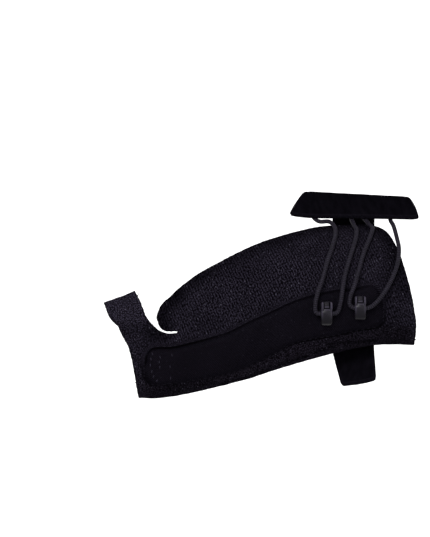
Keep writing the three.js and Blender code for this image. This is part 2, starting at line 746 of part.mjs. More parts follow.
function panel() {
  const half = PANEL_LENGTH / 2;
  const narrow = STRAP_WIDTH / 2 + PANEL_MARGIN;
  const shape = new THREE.Shape();
  const first = PANEL_OUTLINE[PANEL_OUTLINE.length - 1];
  shape.moveTo(first.along * half, first.down * PANEL_WIDTH);
  for (const row of PANEL_OUTLINE)
    shape.quadraticCurveTo(
      row.bendAlong * half,
      row.bendDown * PANEL_WIDTH,
      row.end ? row.end * narrow : row.along * half,
      row.down * PANEL_WIDTH,
    );
  const seat = STRAP_THICKNESS / 2 + CLEARANCE;
  return cloth(
    laidRound(shape, 4),
    marks(-half, half, SLICE_ALONG * 2),
    marks(-PANEL_WIDTH, 0, SLICE_ALONG * 0.7),
    onWrist,
    () => seat,
    () => seat + PANEL_THICKNESS,
  );
}

function hookPatch() {
  const half = STRAP_WIDTH / 2 - HOOK_MARGIN;
  const from = (PALM.meets + PALM.leaves) / 2 - PALM.hook;
  const to = from + 2 * PALM.hook;
  const corners = [[-half, from], [half, from], [half, to], [-half, to]];
  return cloth(
    corners.map(([x, round]) => new THREE.Vector2(x, round)),
    marks(-half, half, SLICE_ALONG),
    marks(from, to, SLICE_ROUND / 2),
    onForm,
    () => CLEARANCE,
    () => CLEARANCE + HOOK_THICKNESS,
  );
}

// Scene graph
const brace = new THREE.Group();
const drawn = new THREE.Group();
// x stays, up goes to the ulnar side and up, near goes to the thumb side and up
drawn.matrixAutoUpdate = false;
drawn.matrix.makeBasis(
  new THREE.Vector3(1, 0, 0),
  new THREE.Vector3(0, Math.sin(ROLL), Math.cos(ROLL)),
  new THREE.Vector3(0, -Math.cos(ROLL), Math.sin(ROLL)),
);
brace.add(drawn);

function add(name, geometry, finish) {
  const mesh = new THREE.Mesh(geometry, new THREE.MeshStandardMaterial(FINISH[finish]));
  mesh.name = name;
  drawn.add(mesh);
  return mesh;
}

add("wrap", wrap(), "knit");
add("splint_pocket", pocket(), "twill");
for (const row of GUIDES) {
  const mesh = add(row.name, guide(), "plastic");
  mesh.applyMatrix4(guideSeat(row));
}
add("lace", lace(), "braid");
add("lace_panel", panel(), "velour");
add("wrist_strap", strap(), "velour");
add("hook_patch", hookPatch(), "velour");

export default brace;
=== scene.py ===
"""Thumb stabilizer brace: the looks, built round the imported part. Metres, in the part's own frame."""

import math

import bmesh
import bpy
import numpy as np
from mathutils import Matrix, Vector


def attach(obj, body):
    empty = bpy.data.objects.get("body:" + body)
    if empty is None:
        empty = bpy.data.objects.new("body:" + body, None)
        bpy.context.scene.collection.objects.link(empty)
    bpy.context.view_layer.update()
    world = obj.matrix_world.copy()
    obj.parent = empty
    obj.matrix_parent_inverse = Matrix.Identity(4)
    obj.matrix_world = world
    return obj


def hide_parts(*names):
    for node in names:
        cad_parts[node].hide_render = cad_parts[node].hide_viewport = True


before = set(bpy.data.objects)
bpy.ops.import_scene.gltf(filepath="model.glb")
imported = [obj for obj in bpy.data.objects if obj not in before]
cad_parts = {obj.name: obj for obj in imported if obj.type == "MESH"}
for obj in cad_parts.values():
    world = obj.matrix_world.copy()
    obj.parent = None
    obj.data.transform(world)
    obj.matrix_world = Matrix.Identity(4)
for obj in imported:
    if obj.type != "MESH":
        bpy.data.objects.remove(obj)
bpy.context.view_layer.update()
ops = bmesh.ops
scene = bpy.context.scene

# The brace is drawn as in the part's source: millimetres, x to the elbow, up, and near towards the eye. The
# whole is then rolled about x into the part's frame.
MM = 0.001
ROLL = math.radians(50)
WRAP_LENGTH = 145.5
ELBOW_REACH = 28.5
HEIGHT = 58
DEPTH = 56
WALL = 2.6
CLEARANCE = 0.3
POCKET_RISE = 2.6
POCKET_CORNER = 4
GUIDE_WIDTH = 5.05
GUIDE_LENGTH = 10.9
GUIDE_RISE = 4.9
TUNNEL_UP = -0.5
TUNNEL_RISE = 1.9
LACE_DIAMETER = 2
PANEL_LENGTH = 58.6
PANEL_WIDTH = 33
PANEL_THICKNESS = 2.2
PANEL_MARGIN = 1.5
STRAP_WIDTH = 18.8
STRAP_THICKNESS = 1.7
STRAP_END_WIDTH = 14.8
TAIL_LENGTH = 32.8
STRAP_TAPER = 26
STRAP_DRIFT = -1.1
TIP_MIDDLE = 1.45
HOOK_THICKNESS = 0.8
HOOK_MARGIN = 1
LACE_TUCK = 8

# Sections of the worn form: share along the wrap, low and high as shares of HEIGHT, then the middle,
# half the depth and the lean as shares of DEPTH, and how egg-shaped the section is
FORM = (
    (0, -0.562, 0.41, 0, 0.446, -0.143, 0),
    (0.127, -0.56, 0.422, 0, 0.446, -0.143, 0),
    (0.265, -0.629, 0.422, 0.009, 0.455, -0.134, 0),
    (0.402, -0.724, 0.405, 0.036, 0.46, -0.12, 0),
    (0.54, -0.834, 0.353, 0.071, 0.452, -0.098, 0),
    (0.691, -0.93, 0.224, 0.143, 0.37, -0.036, 0.05),
    (0.801, -0.98, 0.034, 0.205, 0.285, 0, 0.15),
    (0.897, -0.983, -0.121, 0.232, 0.236, 0, 0.25),
    (1, -0.94, -0.222, 0.232, 0.225, 0, 0.25),
)

# Cut edges of the wrap as drawn: share along the wrap, height as a share of HEIGHT
NEAR_HOLE = (
    (0.895, -0.15), (0.8855, -0.19), (0.876, -0.25), (0.8625, -0.33), (0.84, -0.4), (0.8165, -0.446),
    (0.795, -0.464), (0.766, -0.462),
)
NEAR_FLAP = (
    (0.762, -0.449), (0.79, -0.448), (0.812, -0.434), (0.824, -0.4), (0.828, -0.365), (0.8315, -0.33),
    (0.827, -0.28), (0.818, -0.233), (0.8, -0.186), (0.765, -0.118), (0.691, 0.02), (0.62, 0.117),
    (0.531, 0.227), (0.452, 0.3), (0.372, 0.356), (0.308, 0.389), (0.228, 0.403), (0.15, 0.402),
    (0.108, 0.37), (0.086, 0.32), (0.06, 0.2), (0.0305, -0.024), (0.011, -0.245), (0.003, -0.42),
    (0.006, -0.52),
)
FAR_FLAP = (
    (0.013, -0.47), (0.02, -0.3), (0.06, -0.18), (0.12, -0.12), (0.276, -0.14), (0.42, -0.2),
    (0.56, -0.31), (0.68, -0.43), (0.77, -0.54), (0.8, -0.6), (0.79, -0.655), (0.75, -0.67),
)
FAR_HOLE = (
    (0.745, -0.69), (0.79, -0.685), (0.835, -0.62), (0.865, -0.5), (0.887, -0.36), (0.896, -0.23),
)
WEB_FOLD = (0.999, 0.9)
THUMB_EDGE = (
    (0.985, -0.305), (0.95, -0.412), (0.926, -0.53), (0.912, -0.64), (0.9, -0.79), (0.892, -0.92),
    (0.886, -1),
)

# The pocket's long edges: share along, low and high shares of HEIGHT
POCKET = (
    (0.1, -0.41, -0.15), (0.14, -0.43, -0.06), (0.2, -0.453, -0.082), (0.27, -0.495, -0.1),
    (0.34, -0.523, -0.14), (0.4, -0.562, -0.19), (0.47, -0.653, -0.272), (0.54, -0.737, -0.352),
    (0.6, -0.79, -0.428), (0.66, -0.822, -0.474), (0.72, -0.852, -0.513), (0.78, -0.872, -0.547),
    (0.84, -0.885, -0.555), (0.877, -0.84, -0.61),
)

GUIDES = {"lace_guide_1": (0.287, -0.3), "lace_guide_2": (0.18, -0.256)}


def table_curve(rows, column, values):
    """Smooth curve through one column of a table whose first column is where each row lies."""
    rows = np.asarray(rows, float)
    where = rows[:, 0]
    height = rows[:, column]
    last = len(where) - 1
    i = np.clip(np.searchsorted(where, values) - 1, 0, last - 1)
    before = np.maximum(i - 1, 0)
    after = np.minimum(i + 2, last)
    step = where[i + 1] - where[i]
    share = np.clip((values - where[i]) / step, 0, 1)
    leaving = (height[i + 1] - height[before]) / (where[i + 1] - where[before]) * step
    arriving = (height[after] - height[i]) / (where[after] - where[i]) * step
    s2 = share * share
    s3 = s2 * share
    started = (2 * s3 - 3 * s2 + 1) * height[i] + (s3 - 2 * s2 + share) * leaving
    return started + (3 * s2 - 2 * s3) * height[i + 1] + (s3 - s2) * arriving


def grid_value(grid, i, j):
    """A grid's values at places between its points, going straight on past its ends."""
    i, j = np.broadcast_arrays(i, j)
    i0 = np.clip(np.floor(i).astype(int), 0, grid.shape[0] - 2)
    j0 = np.clip(np.floor(j).astype(int), 0, grid.shape[1] - 2)
    more = (..., *[None] * (grid.ndim - 2))
    a, b = (i - i0)[more], (j - j0)[more]
    low = grid[i0, j0] * (1 - b) + grid[i0, j0 + 1] * b
    high = grid[i0 + 1, j0] * (1 - b) + grid[i0 + 1, j0 + 1] * b
    return low * (1 - a) + high * a


def ease(value, low, high):
    """0 below low, 1 above high, smooth between them."""
    share = np.clip((np.asarray(value, float) - low) / (high - low), 0, 1)
    return share * share * (3 - 2 * share)


def ridge(away, width):
    """1 where away is 0, falling smoothly to nothing on both sides."""
    return np.exp(-((away / width) ** 2))


def rounded(share):
    """How far a rounded edge of radius 1 falls back, by the share of the way out over it."""
    return 1 - np.sqrt(1 - np.clip(share, 0, 1) ** 2)


def x_at(at):
    return ELBOW_REACH - np.asarray(at, float) * WRAP_LENGTH


def at_x(x):
    return np.clip((ELBOW_REACH - x) / WRAP_LENGTH, 0, 1)


def section(x):
    """The form at x: its middle and half its height as drawn, then its middle, half depth, lean and egg."""
    low, high, mid, deep, lean, egg = (table_curve(FORM, column, at_x(x)) for column in range(1, 7))
    middle = (low + high) / 2 * HEIGHT
    half = (high - low) / 2 * HEIGHT
    return middle, half, mid * DEPTH, deep * DEPTH, lean * DEPTH, egg


def on_form(x, turn):
    """Points of the worn form: turn runs from 0 at the top, down the near side to 180, up the far side."""
    middle, half, mid, deep, lean, egg = section(x)
    c = np.cos(np.radians(turn))
    n = np.sin(np.radians(turn))
    near = mid + deep * n * (1 - egg * c) + lean * c
    return np.stack([x + 0 * turn, middle + half * c, near], -1)


def turn_at(x, up, far=False):
    middle, half = section(x)[:2]
    turn = np.degrees(np.arccos(np.clip((up - middle) / half, -1, 1)))
    return 360 - turn if far else turn


def unit(way):
    return way / np.linalg.norm(way, axis=-1, keepdims=True)


def outward(surface, a, b, step=0.1):
    da = surface(a + step, b) - surface(a - step, b)
    db = surface(a, b + step) - surface(a, b - step)
    return unit(np.cross(db, da))


def raised(surface, a, b, height, step=0.1):
    return surface(a, b) + outward(surface, a, b, step) * np.asarray(height)[..., None]


def seat_for(x, up, height):
    """Where on the form something that stands off it by height shows at x and up, as drawn."""
    seat = np.array([x, up], float)
    for _ in range(8):
        p = raised(on_form, seat[0], turn_at(*seat), height)
        seat += np.array([x, up]) - p[:2]
    return seat


def to_row(drawn):
    """From drawn places in millimetres to the part's frame in metres."""
    x, up, near = np.moveaxis(np.asarray(drawn, float), -1, 0)
    y = up * math.sin(ROLL) - near * math.cos(ROLL)
    z = up * math.cos(ROLL) + near * math.sin(ROLL)
    return np.stack([x, y, z], -1) * MM


def smooth_line(points, steps=12):
    """Centripetal curve through points, as a dense line."""
    p = np.asarray(points, float)
    p = np.vstack([2 * p[0] - p[1], p, 2 * p[-1] - p[-2]])
    t = np.linspace(0, 1, steps, endpoint=False)[:, None]
    out = []
    for a, b, c, d in zip(p, p[1:], p[2:], p[3:]):
        ta, tb, tc = (max(np.linalg.norm(v - u), 1e-4) ** 0.5 for u, v in ((a, b), (b, c), (c, d)))
        leaving = ((b - a) / ta - (c - a) / (ta + tb) + (c - b) / tb) * tb
        arriving = ((c - b) / tb - (d - b) / (tb + tc) + (d - c) / tc) * tb
        bend = -3 * b + 3 * c - 2 * leaving - arriving
        out.append(b + leaving * t + bend * t**2 + (2 * b - 2 * c + leaving + arriving) * t**3)
    return np.vstack([*out, p[-2:-1]])


def spaced(line, spacing=None, ways=None):
    """A line resampled at an even spacing, or at given ways along it. Past its ends it goes straight on."""
    lengths = np.concatenate([[0], np.cumsum(np.linalg.norm(np.diff(line, axis=0), axis=1))])
    if ways is None:
        ways = np.linspace(0, lengths[-1], max(2, round(lengths[-1] / spacing) + 1))
    inside = np.clip(ways, 0, lengths[-1])
    out = np.stack([np.interp(inside, lengths, line[:, i]) for i in range(line.shape[1])], -1)
    over = (ways - inside)[:, None]
    return out + np.where(over < 0, over * unit(line[1] - line[0]), over * unit(line[-1] - line[-2]))


# The line round the form that the strap and the panel lie on, as in the part's source: up as a share of
# HEIGHT, near of DEPTH, and how much lower it lies for each millimetre to the elbow. It then
# meets the form's far side at one turn and leaves it at another.
ROUND_LINE = (
    (0.43, 0.02, 0.02), (0.515, -0.07, 0.035), (0.59, -0.19, 0.05), (0.575, -0.34, 0.05),
    (0.45, -0.49, 0.03), (0.24, -0.565, 0.01),
)
TURN_MEETS = 278
TURN_LEAVES = 214
TURN_STEP = 8
HOOK_REACH = 14
HOOK_GRID = (110, 110)
HOOK_ROWS = 22
HOOK_DIP = 0.28


def round_curve(x):
    lift = 2 * CLEARANCE + HOOK_THICKNESS + STRAP_THICKNESS / 2
    points = [(x, up * HEIGHT - rise * x, near * DEPTH) for up, near, rise in ROUND_LINE]
    turns = np.arange(TURN_MEETS, TURN_LEAVES - 1, -TURN_STEP, dtype=float)
    points += list(raised(on_form, np.full(len(turns), x), turns, np.full(len(turns), lift)))
    tail = unit(points[-1] - points[-2]) * TAIL_LENGTH
    points += [points[-1] + tail / 2, points[-1] + tail]
    return smooth_line(points, 30)


# That line at places along x, each resampled by way in from the panel's near edge
LINE_REACH = 32
LINE_X = np.linspace(-LINE_REACH, LINE_REACH, 2 * LINE_REACH + 1)
LINE_WAY_FIRST = -8
LINE_WAY_STEP = 0.25
LINE_LENGTH = float(np.linalg.norm(np.diff(round_curve(0.0), axis=0), axis=1).sum())
LINE_WAYS = np.arange(LINE_WAY_FIRST, LINE_LENGTH + 2, LINE_WAY_STEP)
LINE_GRID = np.stack([spaced(round_curve(float(x)), ways=LINE_WAYS) for x in LINE_X])


def on_line(x, fall):
    """Points of that line at x, by how far they fall down the near side (fall is minus the way in)."""
    i = (np.asarray(x, float) - LINE_X[0]) / (LINE_X[1] - LINE_X[0])
    j = (-np.asarray(fall, float) - LINE_WAY_FIRST) / LINE_WAY_STEP
    return grid_value(LINE_GRID, i, j)


# Making pieces
EDGE_SEGMENTS = 3
EDGE_ANGLE = math.radians(50)
JOIN_DISTANCE = 0.01 * MM


def finish_piece(obj, slot, materials, *nodes):
    for face in obj.data.polygons:
        face.use_smooth = True
    for made in materials:
        obj.data.materials.append(made)
    if nodes:
        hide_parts(*nodes)
    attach(obj, "root")
    return obj


def add_mesh(name, bm):
    mesh = bpy.data.meshes.new(name)
    bm.to_mesh(mesh)
    bm.free()
    obj = bpy.data.objects.new(name, mesh)
    scene.collection.objects.link(obj)
    return obj


def mesh_places(obj):
    """A piece's vertices as three arrays."""
    vertices = obj.data.vertices
    co = np.empty(len(vertices) * 3, np.float32)
    vertices.foreach_get("co", co)
    return co.reshape(-1, 3).astype(float).T


def keep_uv(obj, a, b):
    """Keeps a cloth's flat places, in millimetres, as its UV map."""
    layer = obj.data.uv_layers.new(name="cloth")
    corner = np.empty(len(obj.data.loops), np.int32)
    obj.data.loops.foreach_get("vertex_index", corner)
    layer.data.foreach_set("uv", np.stack([a[corner], b[corner]], -1).astype(np.float32).ravel())


def keep_shares(obj, **shares):
    """Keeps numbers, one of each a vertex, for the materials to read."""
    for name, values in shares.items():
        layer = obj.data.attributes.new(name, "FLOAT", "POINT")
        layer.data.foreach_set("value", np.asarray(values, np.float32))


def place(obj, drawn):
    obj.data.vertices.foreach_set("co", to_row(drawn).astype(np.float32).ravel())
    obj.data.update()


def mend(obj, nearest, closed=False, sides=0):
    """Merges points that lie together, fills holes of up to so many sides, and turns a closed mesh's faces
    outwards."""
    bm = bmesh.new()
    bm.from_mesh(obj.data)
    ops.remove_doubles(bm, verts=bm.verts[:], dist=nearest * MM)
    if sides:
        ops.holes_fill(bm, edges=[e for e in bm.edges if e.is_boundary], sides=sides)
    if closed:
        ops.recalc_face_normals(bm, faces=bm.faces[:])
    bm.to_mesh(obj.data)
    bm.free()


def line_distance(x, y, line):
    """Distance of each place from a drawn line."""
    line = np.asarray(line, float)
    nearest = np.full(len(x), 1e9)
    for (x0, y0), (x1, y1) in zip(line, line[1:]):
        dx, dy = x1 - x0, y1 - y0
        share = np.clip(((x - x0) * dx + (y - y0) * dy) / max(dx * dx + dy * dy, 1e-12), 0, 1)
        nearest = np.minimum(nearest, np.hypot(x - x0 - share * dx, y - y0 - share * dy))
    return nearest


def inner_line(outline, rim):
    """A closed outline's points moved in by the width of the rim."""
    p = np.asarray(outline, float)
    along = unit(np.roll(p, -1, 0) - p)
    area = (p[:, 0] * np.roll(p[:, 1], -1) - p[:, 1] * np.roll(p[:, 0], -1)).sum()
    inward = np.stack([-along[:, 1], along[:, 0]], -1) * np.sign(area)
    middle = unit(inward + np.roll(inward, 1, 0))
    return p + middle * (rim / np.maximum((middle * inward).sum(1), 0.6))[:, None]


def cut_cloth(outline, rim, lines_a, lines_b, cut=None):
    """A flat piece of cloth facing down: the outline's face cut on a grid, with a narrow rim out to its cut
    edge, which is the outline or the slightly ragged line given for it."""
    inner = inner_line(outline, rim)
    cut = np.asarray(outline if cut is None else cut, float)
    bm = bmesh.new()
    face = bm.faces.new([bm.verts.new((a, b, 0)) for a, b in inner])
    bm.normal_update()
    if face.normal.z > 0:
        face.normal_flip()
    for normal, lines in (((1, 0, 0), lines_a), ((0, 1, 0), lines_b)):
        for value in lines:
            everything = [*bm.verts, *bm.edges, *bm.faces]
            middle = Vector(normal) * value
            ops.bisect_plane(bm, geom=everything, dist=1e-4, plane_co=middle, plane_no=normal)
    ops.remove_doubles(bm, verts=bm.verts[:], dist=rim / 6)
    along = np.roll(inner, -1, 0) - inner
    cut_along = np.roll(cut, -1, 0) - cut
    grown = ops.extrude_edge_only(bm, edges=[e for e in bm.edges if e.is_boundary])
    for vert in [v for v in grown["geom"] if isinstance(v, bmesh.types.BMVert)]:
        here = np.array(vert.co[:2])
        share = np.clip(((here - inner) * along).sum(1) / (along**2).sum(1), 0, 1)
        nearest = np.argmin(((inner + along * share[:, None] - here) ** 2).sum(1))
        vert.co = Vector((*(cut[nearest] + cut_along[nearest] * share[nearest]), 0))
    return bm


def lines_between(low, high, spacing):
    count = max(1, round((high - low) / spacing))
    return np.linspace(low, high, count + 1)[1:-1]


def with_wall(obj, thickness, edge):
    """Gives a bent sheet its wall, inwards from its face, and rounds its cut edges. The wall's inside takes
    the piece's second material and its cut edge the third."""
    wall = obj.modifiers.new("wall", "SOLIDIFY")
    wall.thickness = thickness * MM
    wall.offset = -1
    wall.use_even_offset = False
    wall.material_offset = 1
    wall.material_offset_rim = 2
    soft = obj.modifiers.new("soft edge", "BEVEL")
    soft.width = edge * MM
    soft.segments = EDGE_SEGMENTS
    soft.limit_method = "ANGLE"
    soft.angle_limit = EDGE_ANGLE
    joined = obj.modifiers.new("joined", "WELD")
    joined.merge_threshold = JOIN_DISTANCE


# Materials: how bright each is where it is darkest and lightest, and its weave in millimetres and degrees
RIB_TURN = 21
RIB_PITCH = 1.2
RIB_BEND = 0.38
STITCH_REACH = 2.3
KNIT_DARK = 0.0008
KNIT_LIGHT = 0.0165
FLUFF_TINT = (1.03, 1, 0.97, 1)
# Painted glints on the knit's fibres: how strong they are and their colour
GLINT = 0.52
GLINT_COLOUR = (0.08, 0.075, 0.1, 1)
FRAYED = 0.004
LINING = 0.012
FOAM = 0.005
TWILL_TURN = -42
TWILL_LINES = 0.42
TWILL_DARK = 0.0001
TWILL_LIGHT = 0.0058
LINT_COLOUR = (0.03, 0.027, 0.038, 1)
VELOUR_DARK = 0.0008
VELOUR_LIGHT = 0.0019
# The welded line's painted sheen: how strong it is and how bright
WELD = 0.12
WELD_SHEEN_COLOUR = 0.012
BACKING = 0.0027
BRAID_RIB = 0.95
BRAID_DARK = 0.001
BRAID_LIGHT = 0.022
PLASTIC = 0.0094
THREAD = 0.0075
# The tacks' thread is lighter, partly its own colour and partly a painted glint
TACK_THREAD = 0.015
HOOK = 0.01

# Nodes are added to the material kept here, which is the one started last
current = {}


def add_node(kind, settings=None, output=0, **inputs):
    """Adds a node and gives its output. An input goes by its socket's name, with _ for a space, or by its
    place as n0, n1 and so on."""
    node = current["made"].node_tree.nodes.new("ShaderNode" + kind)
    for key, value in (settings or {}).items():
        setattr(node, key, value)
    for key, value in inputs.items():
        by_place = key[0] == "n" and key[1:].isdigit()
        wire(value, node.inputs[int(key[1:]) if by_place else key.replace("_", " ")])
    return node.outputs[output]


def wire(value, socket):
    """Links a node's output to a socket, or sets the socket to a plain value."""
    if isinstance(value, bpy.types.NodeSocket):
        current["made"].node_tree.links.new(value, socket)
    else:
        socket.default_value = value


def maths(operation, *values):
    places = {f"n{i}": value for i, value in enumerate(values)}
    return add_node("Math", {"operation": operation}, **places)


def product(one, two):
    return maths("MULTIPLY", one, two)


def weighted(*terms):
    """The sum of some values, each times its weight."""
    total = None
    for value, weight in terms:
        part = product(value, weight)
        total = part if total is None else maths("ADD", total, part)
    return total


def span(value, low, high, to_low=0.0, to_high=1.0):
    smooth = {"interpolation_type": "SMOOTHSTEP"}
    return add_node("MapRange", smooth, n0=value, n1=low, n2=high, n3=to_low, n4=to_high)


def mixed(share, one, two):
    return add_node("Mix", {"data_type": "RGBA"}, 2, n0=share, n6=one, n7=two)


def share_of(name):
    return add_node("Attribute", {"attribute_name": name}, "Fac")


def cloth_places(turn=0.0, stretch=(1, 1, 1)):
    """The cloth's own flat places, turned by degrees and then stretched."""
    uv = add_node("UVMap", {"uv_map": "cloth"})
    turned = add_node("Mapping", Vector=uv, Rotation=(0, 0, math.radians(turn)))
    return add_node("Mapping", Vector=turned, Scale=stretch)


def noise(places, scale, detail=2.0, roughness=0.5, output="Fac"):
    return add_node("TexNoise", None, output, Vector=places, Scale=scale, Detail=detail, Roughness=roughness)


def cells(places, scale, randomness=1.0, output="Distance"):
    flat = {"voronoi_dimensions": "2D"}
    return add_node("TexVoronoi", flat, output, Vector=places, Scale=scale, Randomness=randomness)


def grey_lavender(value):
    """A near-black colour of a given brightness, with the cloth's faint violet cast."""
    return (value, value * 0.86, value * 1.34, 1)


def shade(value, low, high, dark, light):
    """A colour that goes from dark to light while value goes from low to high."""
    return mixed(span(value, low, high), grey_lavender(dark), grey_lavender(light))


def start_material(name, roughness, specular):
    """Makes the material that nodes are added to from here on."""
    made = current["made"] = bpy.data.materials.new(name)
    made.use_nodes = True
    shader = made.node_tree.nodes["Principled BSDF"]
    shader.inputs["Roughness"].default_value = roughness
    shader.inputs["Specular IOR Level"].default_value = specular
    return shader


def finish_material(shader, colour, height, depth):
    wire(colour, shader.inputs["Base Color"])
    bump = add_node("Bump", Strength=1.0, Distance=depth * MM, Height=height)
    wire(bump, shader.inputs["Normal"])
    return current["made"]


def times(colour, factor):
    """A colour times another colour or a number."""
    settings = {"data_type": "RGBA", "blend_type": "MULTIPLY"}
    return add_node("Mix", settings, 2, n0=1.0, n6=colour, n7=factor)


def blotched(colour, scale, detail, spread):
    """A colour times the cloth's own brightness and the painted light and shade kept at each place, and a
    soft unevenness.
    """
    cloud = noise(cloth_places(), scale, detail)
    blotch = span(cloud, 0.3, 0.7, 1 - spread, 1 + spread)
    return times(colour, product(share_of("tone"), blotch))


def knit_material():
    """Brushed warp knit: steep broken ribs with fine grains and painted glints, and looser loops where the
    tape is.
    """
    shader = start_material("knit", 0.9, 0)
    plain = cloth_places()
    grains = noise(plain, 1.7, 3, 0.7)
    ribs = cloth_places(RIB_TURN, (1 / RIB_PITCH, 1 / STITCH_REACH, 1))
    wander = noise(plain, 0.5, 1, output="Color")
    bend = (RIB_BEND, RIB_BEND, 0)
    bent = add_node("VectorMath", {"operation": "MULTIPLY_ADD"}, n0=wander, n1=bend, n2=ribs)
    across = add_node("SeparateXYZ", n0=bent)
    columns = maths("SINE", product(across, 2 * math.pi))
    stitches = span(cells(bent, 1.9, 0.8), 0.08, 0.7, 1, 0)
    weave = weighted((columns, 0.1), (stitches, 0.36), (grains, 0.85))
    loops = span(cells(cloth_places(0, (0.95, 1.2, 1)), 1.3), 0.05, 0.62, 1, 0)
    fluff = noise(cloth_places(8, (0.45, 1.5, 1)), 1.1, 3, 0.7)
    fluff = maths("SUBTRACT", fluff, 0.5)
    loose = weighted((loops, 0.4), (grains, 0.8), (fluff, share_of("fluff")))
    open_loops = share_of("loops")
    height = weighted((weave, maths("SUBTRACT", 1, open_loops)), (loose, open_loops))
    # Painted glints: a few small cells of the cloth painted bright
    glint_cells = cloth_places(RIB_TURN, (0.95, 0.5, 1))
    chosen = add_node("SeparateColor", n0=cells(glint_cells, 1, 1, "Color"))
    painted_glint = span(cells(glint_cells, 1), 0.06, 0.24, 1, 0)
    painted_glint = product(span(chosen, 0.87, 1), painted_glint)
    colour = shade(height, 0.4, 1, KNIT_DARK, KNIT_LIGHT)
    colour = blotched(colour, 0.09, 3, 0.14)
    colour = times(colour, mixed(share_of("fluff"), (1, 1, 1, 1), FLUFF_TINT))
    colour = mixed(product(painted_glint, GLINT), colour, GLINT_COLOUR)
    frayed = span(share_of("inset"), 0.05, 0.5, 0.5, 0)
    colour = mixed(frayed, colour, grey_lavender(FRAYED))
    return finish_material(shader, colour, height, 0.3)


def plain_cloth(name, brightness, grain, depth, roughness=0.9, specular=0):
    """A plain cloth or foam, for the wall's inside and its cut edge."""
    shader = start_material(name, roughness, specular)
    places = add_node("TexCoord", output="Object")
    speck = noise(places, grain, 3, 0.7)
    colour = shade(speck, 0.3, 0.7, brightness * 0.55, brightness * 1.5)
    return finish_material(shader, colour, speck, depth)


def twill_material():
    """Smooth cloth with a fine diagonal line and a few specks of lint."""
    shader = start_material("twill", 0.8, 0)
    places = cloth_places(TWILL_TURN)
    settings = {"wave_type": "BANDS", "bands_direction": "X", "wave_profile": "SIN"}
    levels = {"Vector": places, "Scale": TWILL_LINES, "Distortion": 0.6, "Detail": 1, "Detail_Scale": 2.0}
    lines = add_node("TexWave", settings, "Fac", **levels)
    grains = noise(cloth_places(), 1.5, 3, 0.7)
    height = weighted((lines, 0.4), (grains, 0.95))
    colour = shade(height, 0.54, 0.84, TWILL_DARK, TWILL_LIGHT)
    colour = blotched(colour, 0.07, 2, 0.12)
    lint = cells(cloth_places(0, (0.16, 0.16, 1)), 1)
    colour = mixed(span(lint, 0.015, 0.05, 0.3, 0), colour, LINT_COLOUR)
    return finish_material(shader, colour, height, 0.12)


def velour_material():
    """Short dense pile with a welded line just inside its cut edge, painted paler there as a painted sheen.
    """
    shader = start_material("velour", 0.95, 0)
    pile = noise(cloth_places(), 3.2, 2, 0.7)
    brushed = noise(cloth_places(12, (0.35, 0.12, 1)), 1, 3, 0.6)
    share = weighted((pile, 0.5), (brushed, 0.5))
    colour = shade(share, 0.35, 0.65, VELOUR_DARK, VELOUR_LIGHT)
    inset = share_of("inset")
    painted_weld_sheen = product(span(inset, 0.25, 0.5), span(inset, 0.6, 0.95, 1, 0))
    # The piece's own brightness, with the strap's painted light and shade
    colour = times(colour, share_of("tone"))
    # Painted sheen along the welded line
    colour = mixed(product(painted_weld_sheen, WELD), colour, grey_lavender(WELD_SHEEN_COLOUR))
    return finish_material(shader, colour, pile, 0.1)


def braid_material():
    """Braided elastic yarn: crossing strands with painted shade between them, and fine ribs across."""
    shader = start_material("braid", 0.6, 0.05)
    yarn = share_of("yarn")
    along = add_node("SeparateXYZ", n0=cloth_places())
    ribs = maths("SINE", product(along, 2 * math.pi / BRAID_RIB))
    specks = noise(cloth_places(0, (2.6, 0.8, 1)), 1, 2, 0.6)
    share = weighted((yarn, 0.45), (specks, 0.65), (ribs, 0.13))
    colour = shade(share, 0.52, 1, BRAID_DARK, BRAID_LIGHT)
    return finish_material(shader, colour, share, 0.12)


def plastic_material():
    """Dark grey moulded plastic with a satin surface."""
    shader = start_material("satin plastic", 0.3, 0.1)
    places = add_node("TexCoord", output="Object")
    grain = noise(places, 2600, 2, 0.6)
    cloud = noise(places, 260, 2)
    colour = shade(cloud, 0.3, 0.7, PLASTIC * 0.9, PLASTIC * 1.1)
    # Painted highlights and shade kept at each vertex of the guides brighten and darken the plastic
    colour = times(colour, share_of("tone"))
    wire(span(grain, 0.3, 0.7, 0.26, 0.34), shader.inputs["Roughness"])
    return finish_material(shader, colour, grain, 0.012)


def thread_material(name, value):
    shader = start_material(name, 0.7, 0.02)
    places = add_node("TexCoord", output="Object")
    twist = noise(places, 3000, 2)
    colour = mixed(twist, grey_lavender(value * 0.6), grey_lavender(value * 1.4))
    return finish_material(shader, colour, twist, 0.03)


knit = knit_material()
lining = plain_cloth("lining knit", LINING, 900, 0.12)
foam = plain_cloth("cut foam edge", FOAM, 1500, 0.2)
twill = twill_material()
velour = velour_material()
backing = plain_cloth("loop backing", BACKING, 1600, 0.08)
braid = braid_material()
satin = plastic_material()
thread = thread_material("thread", THREAD)
bright_thread = thread_material("bright thread", TACK_THREAD)
hook = plain_cloth("hook tape", HOOK, 2000, 0.05, 0.6, 0.1)

# The wrap
CLOTH_GRID = 0.95
EDGE_STEP = 0.9
RIM = 0.75
TURN_MM = 0.42
WHOLE_TURN = 360 * TURN_MM
RAGGED = 0.06
WRAP_EDGE = 0.6
WRAP_SEED = 7
CREASE_WIDTH = 0.75
TIP_REACH = 3.2
TIP_SINK = 1.5

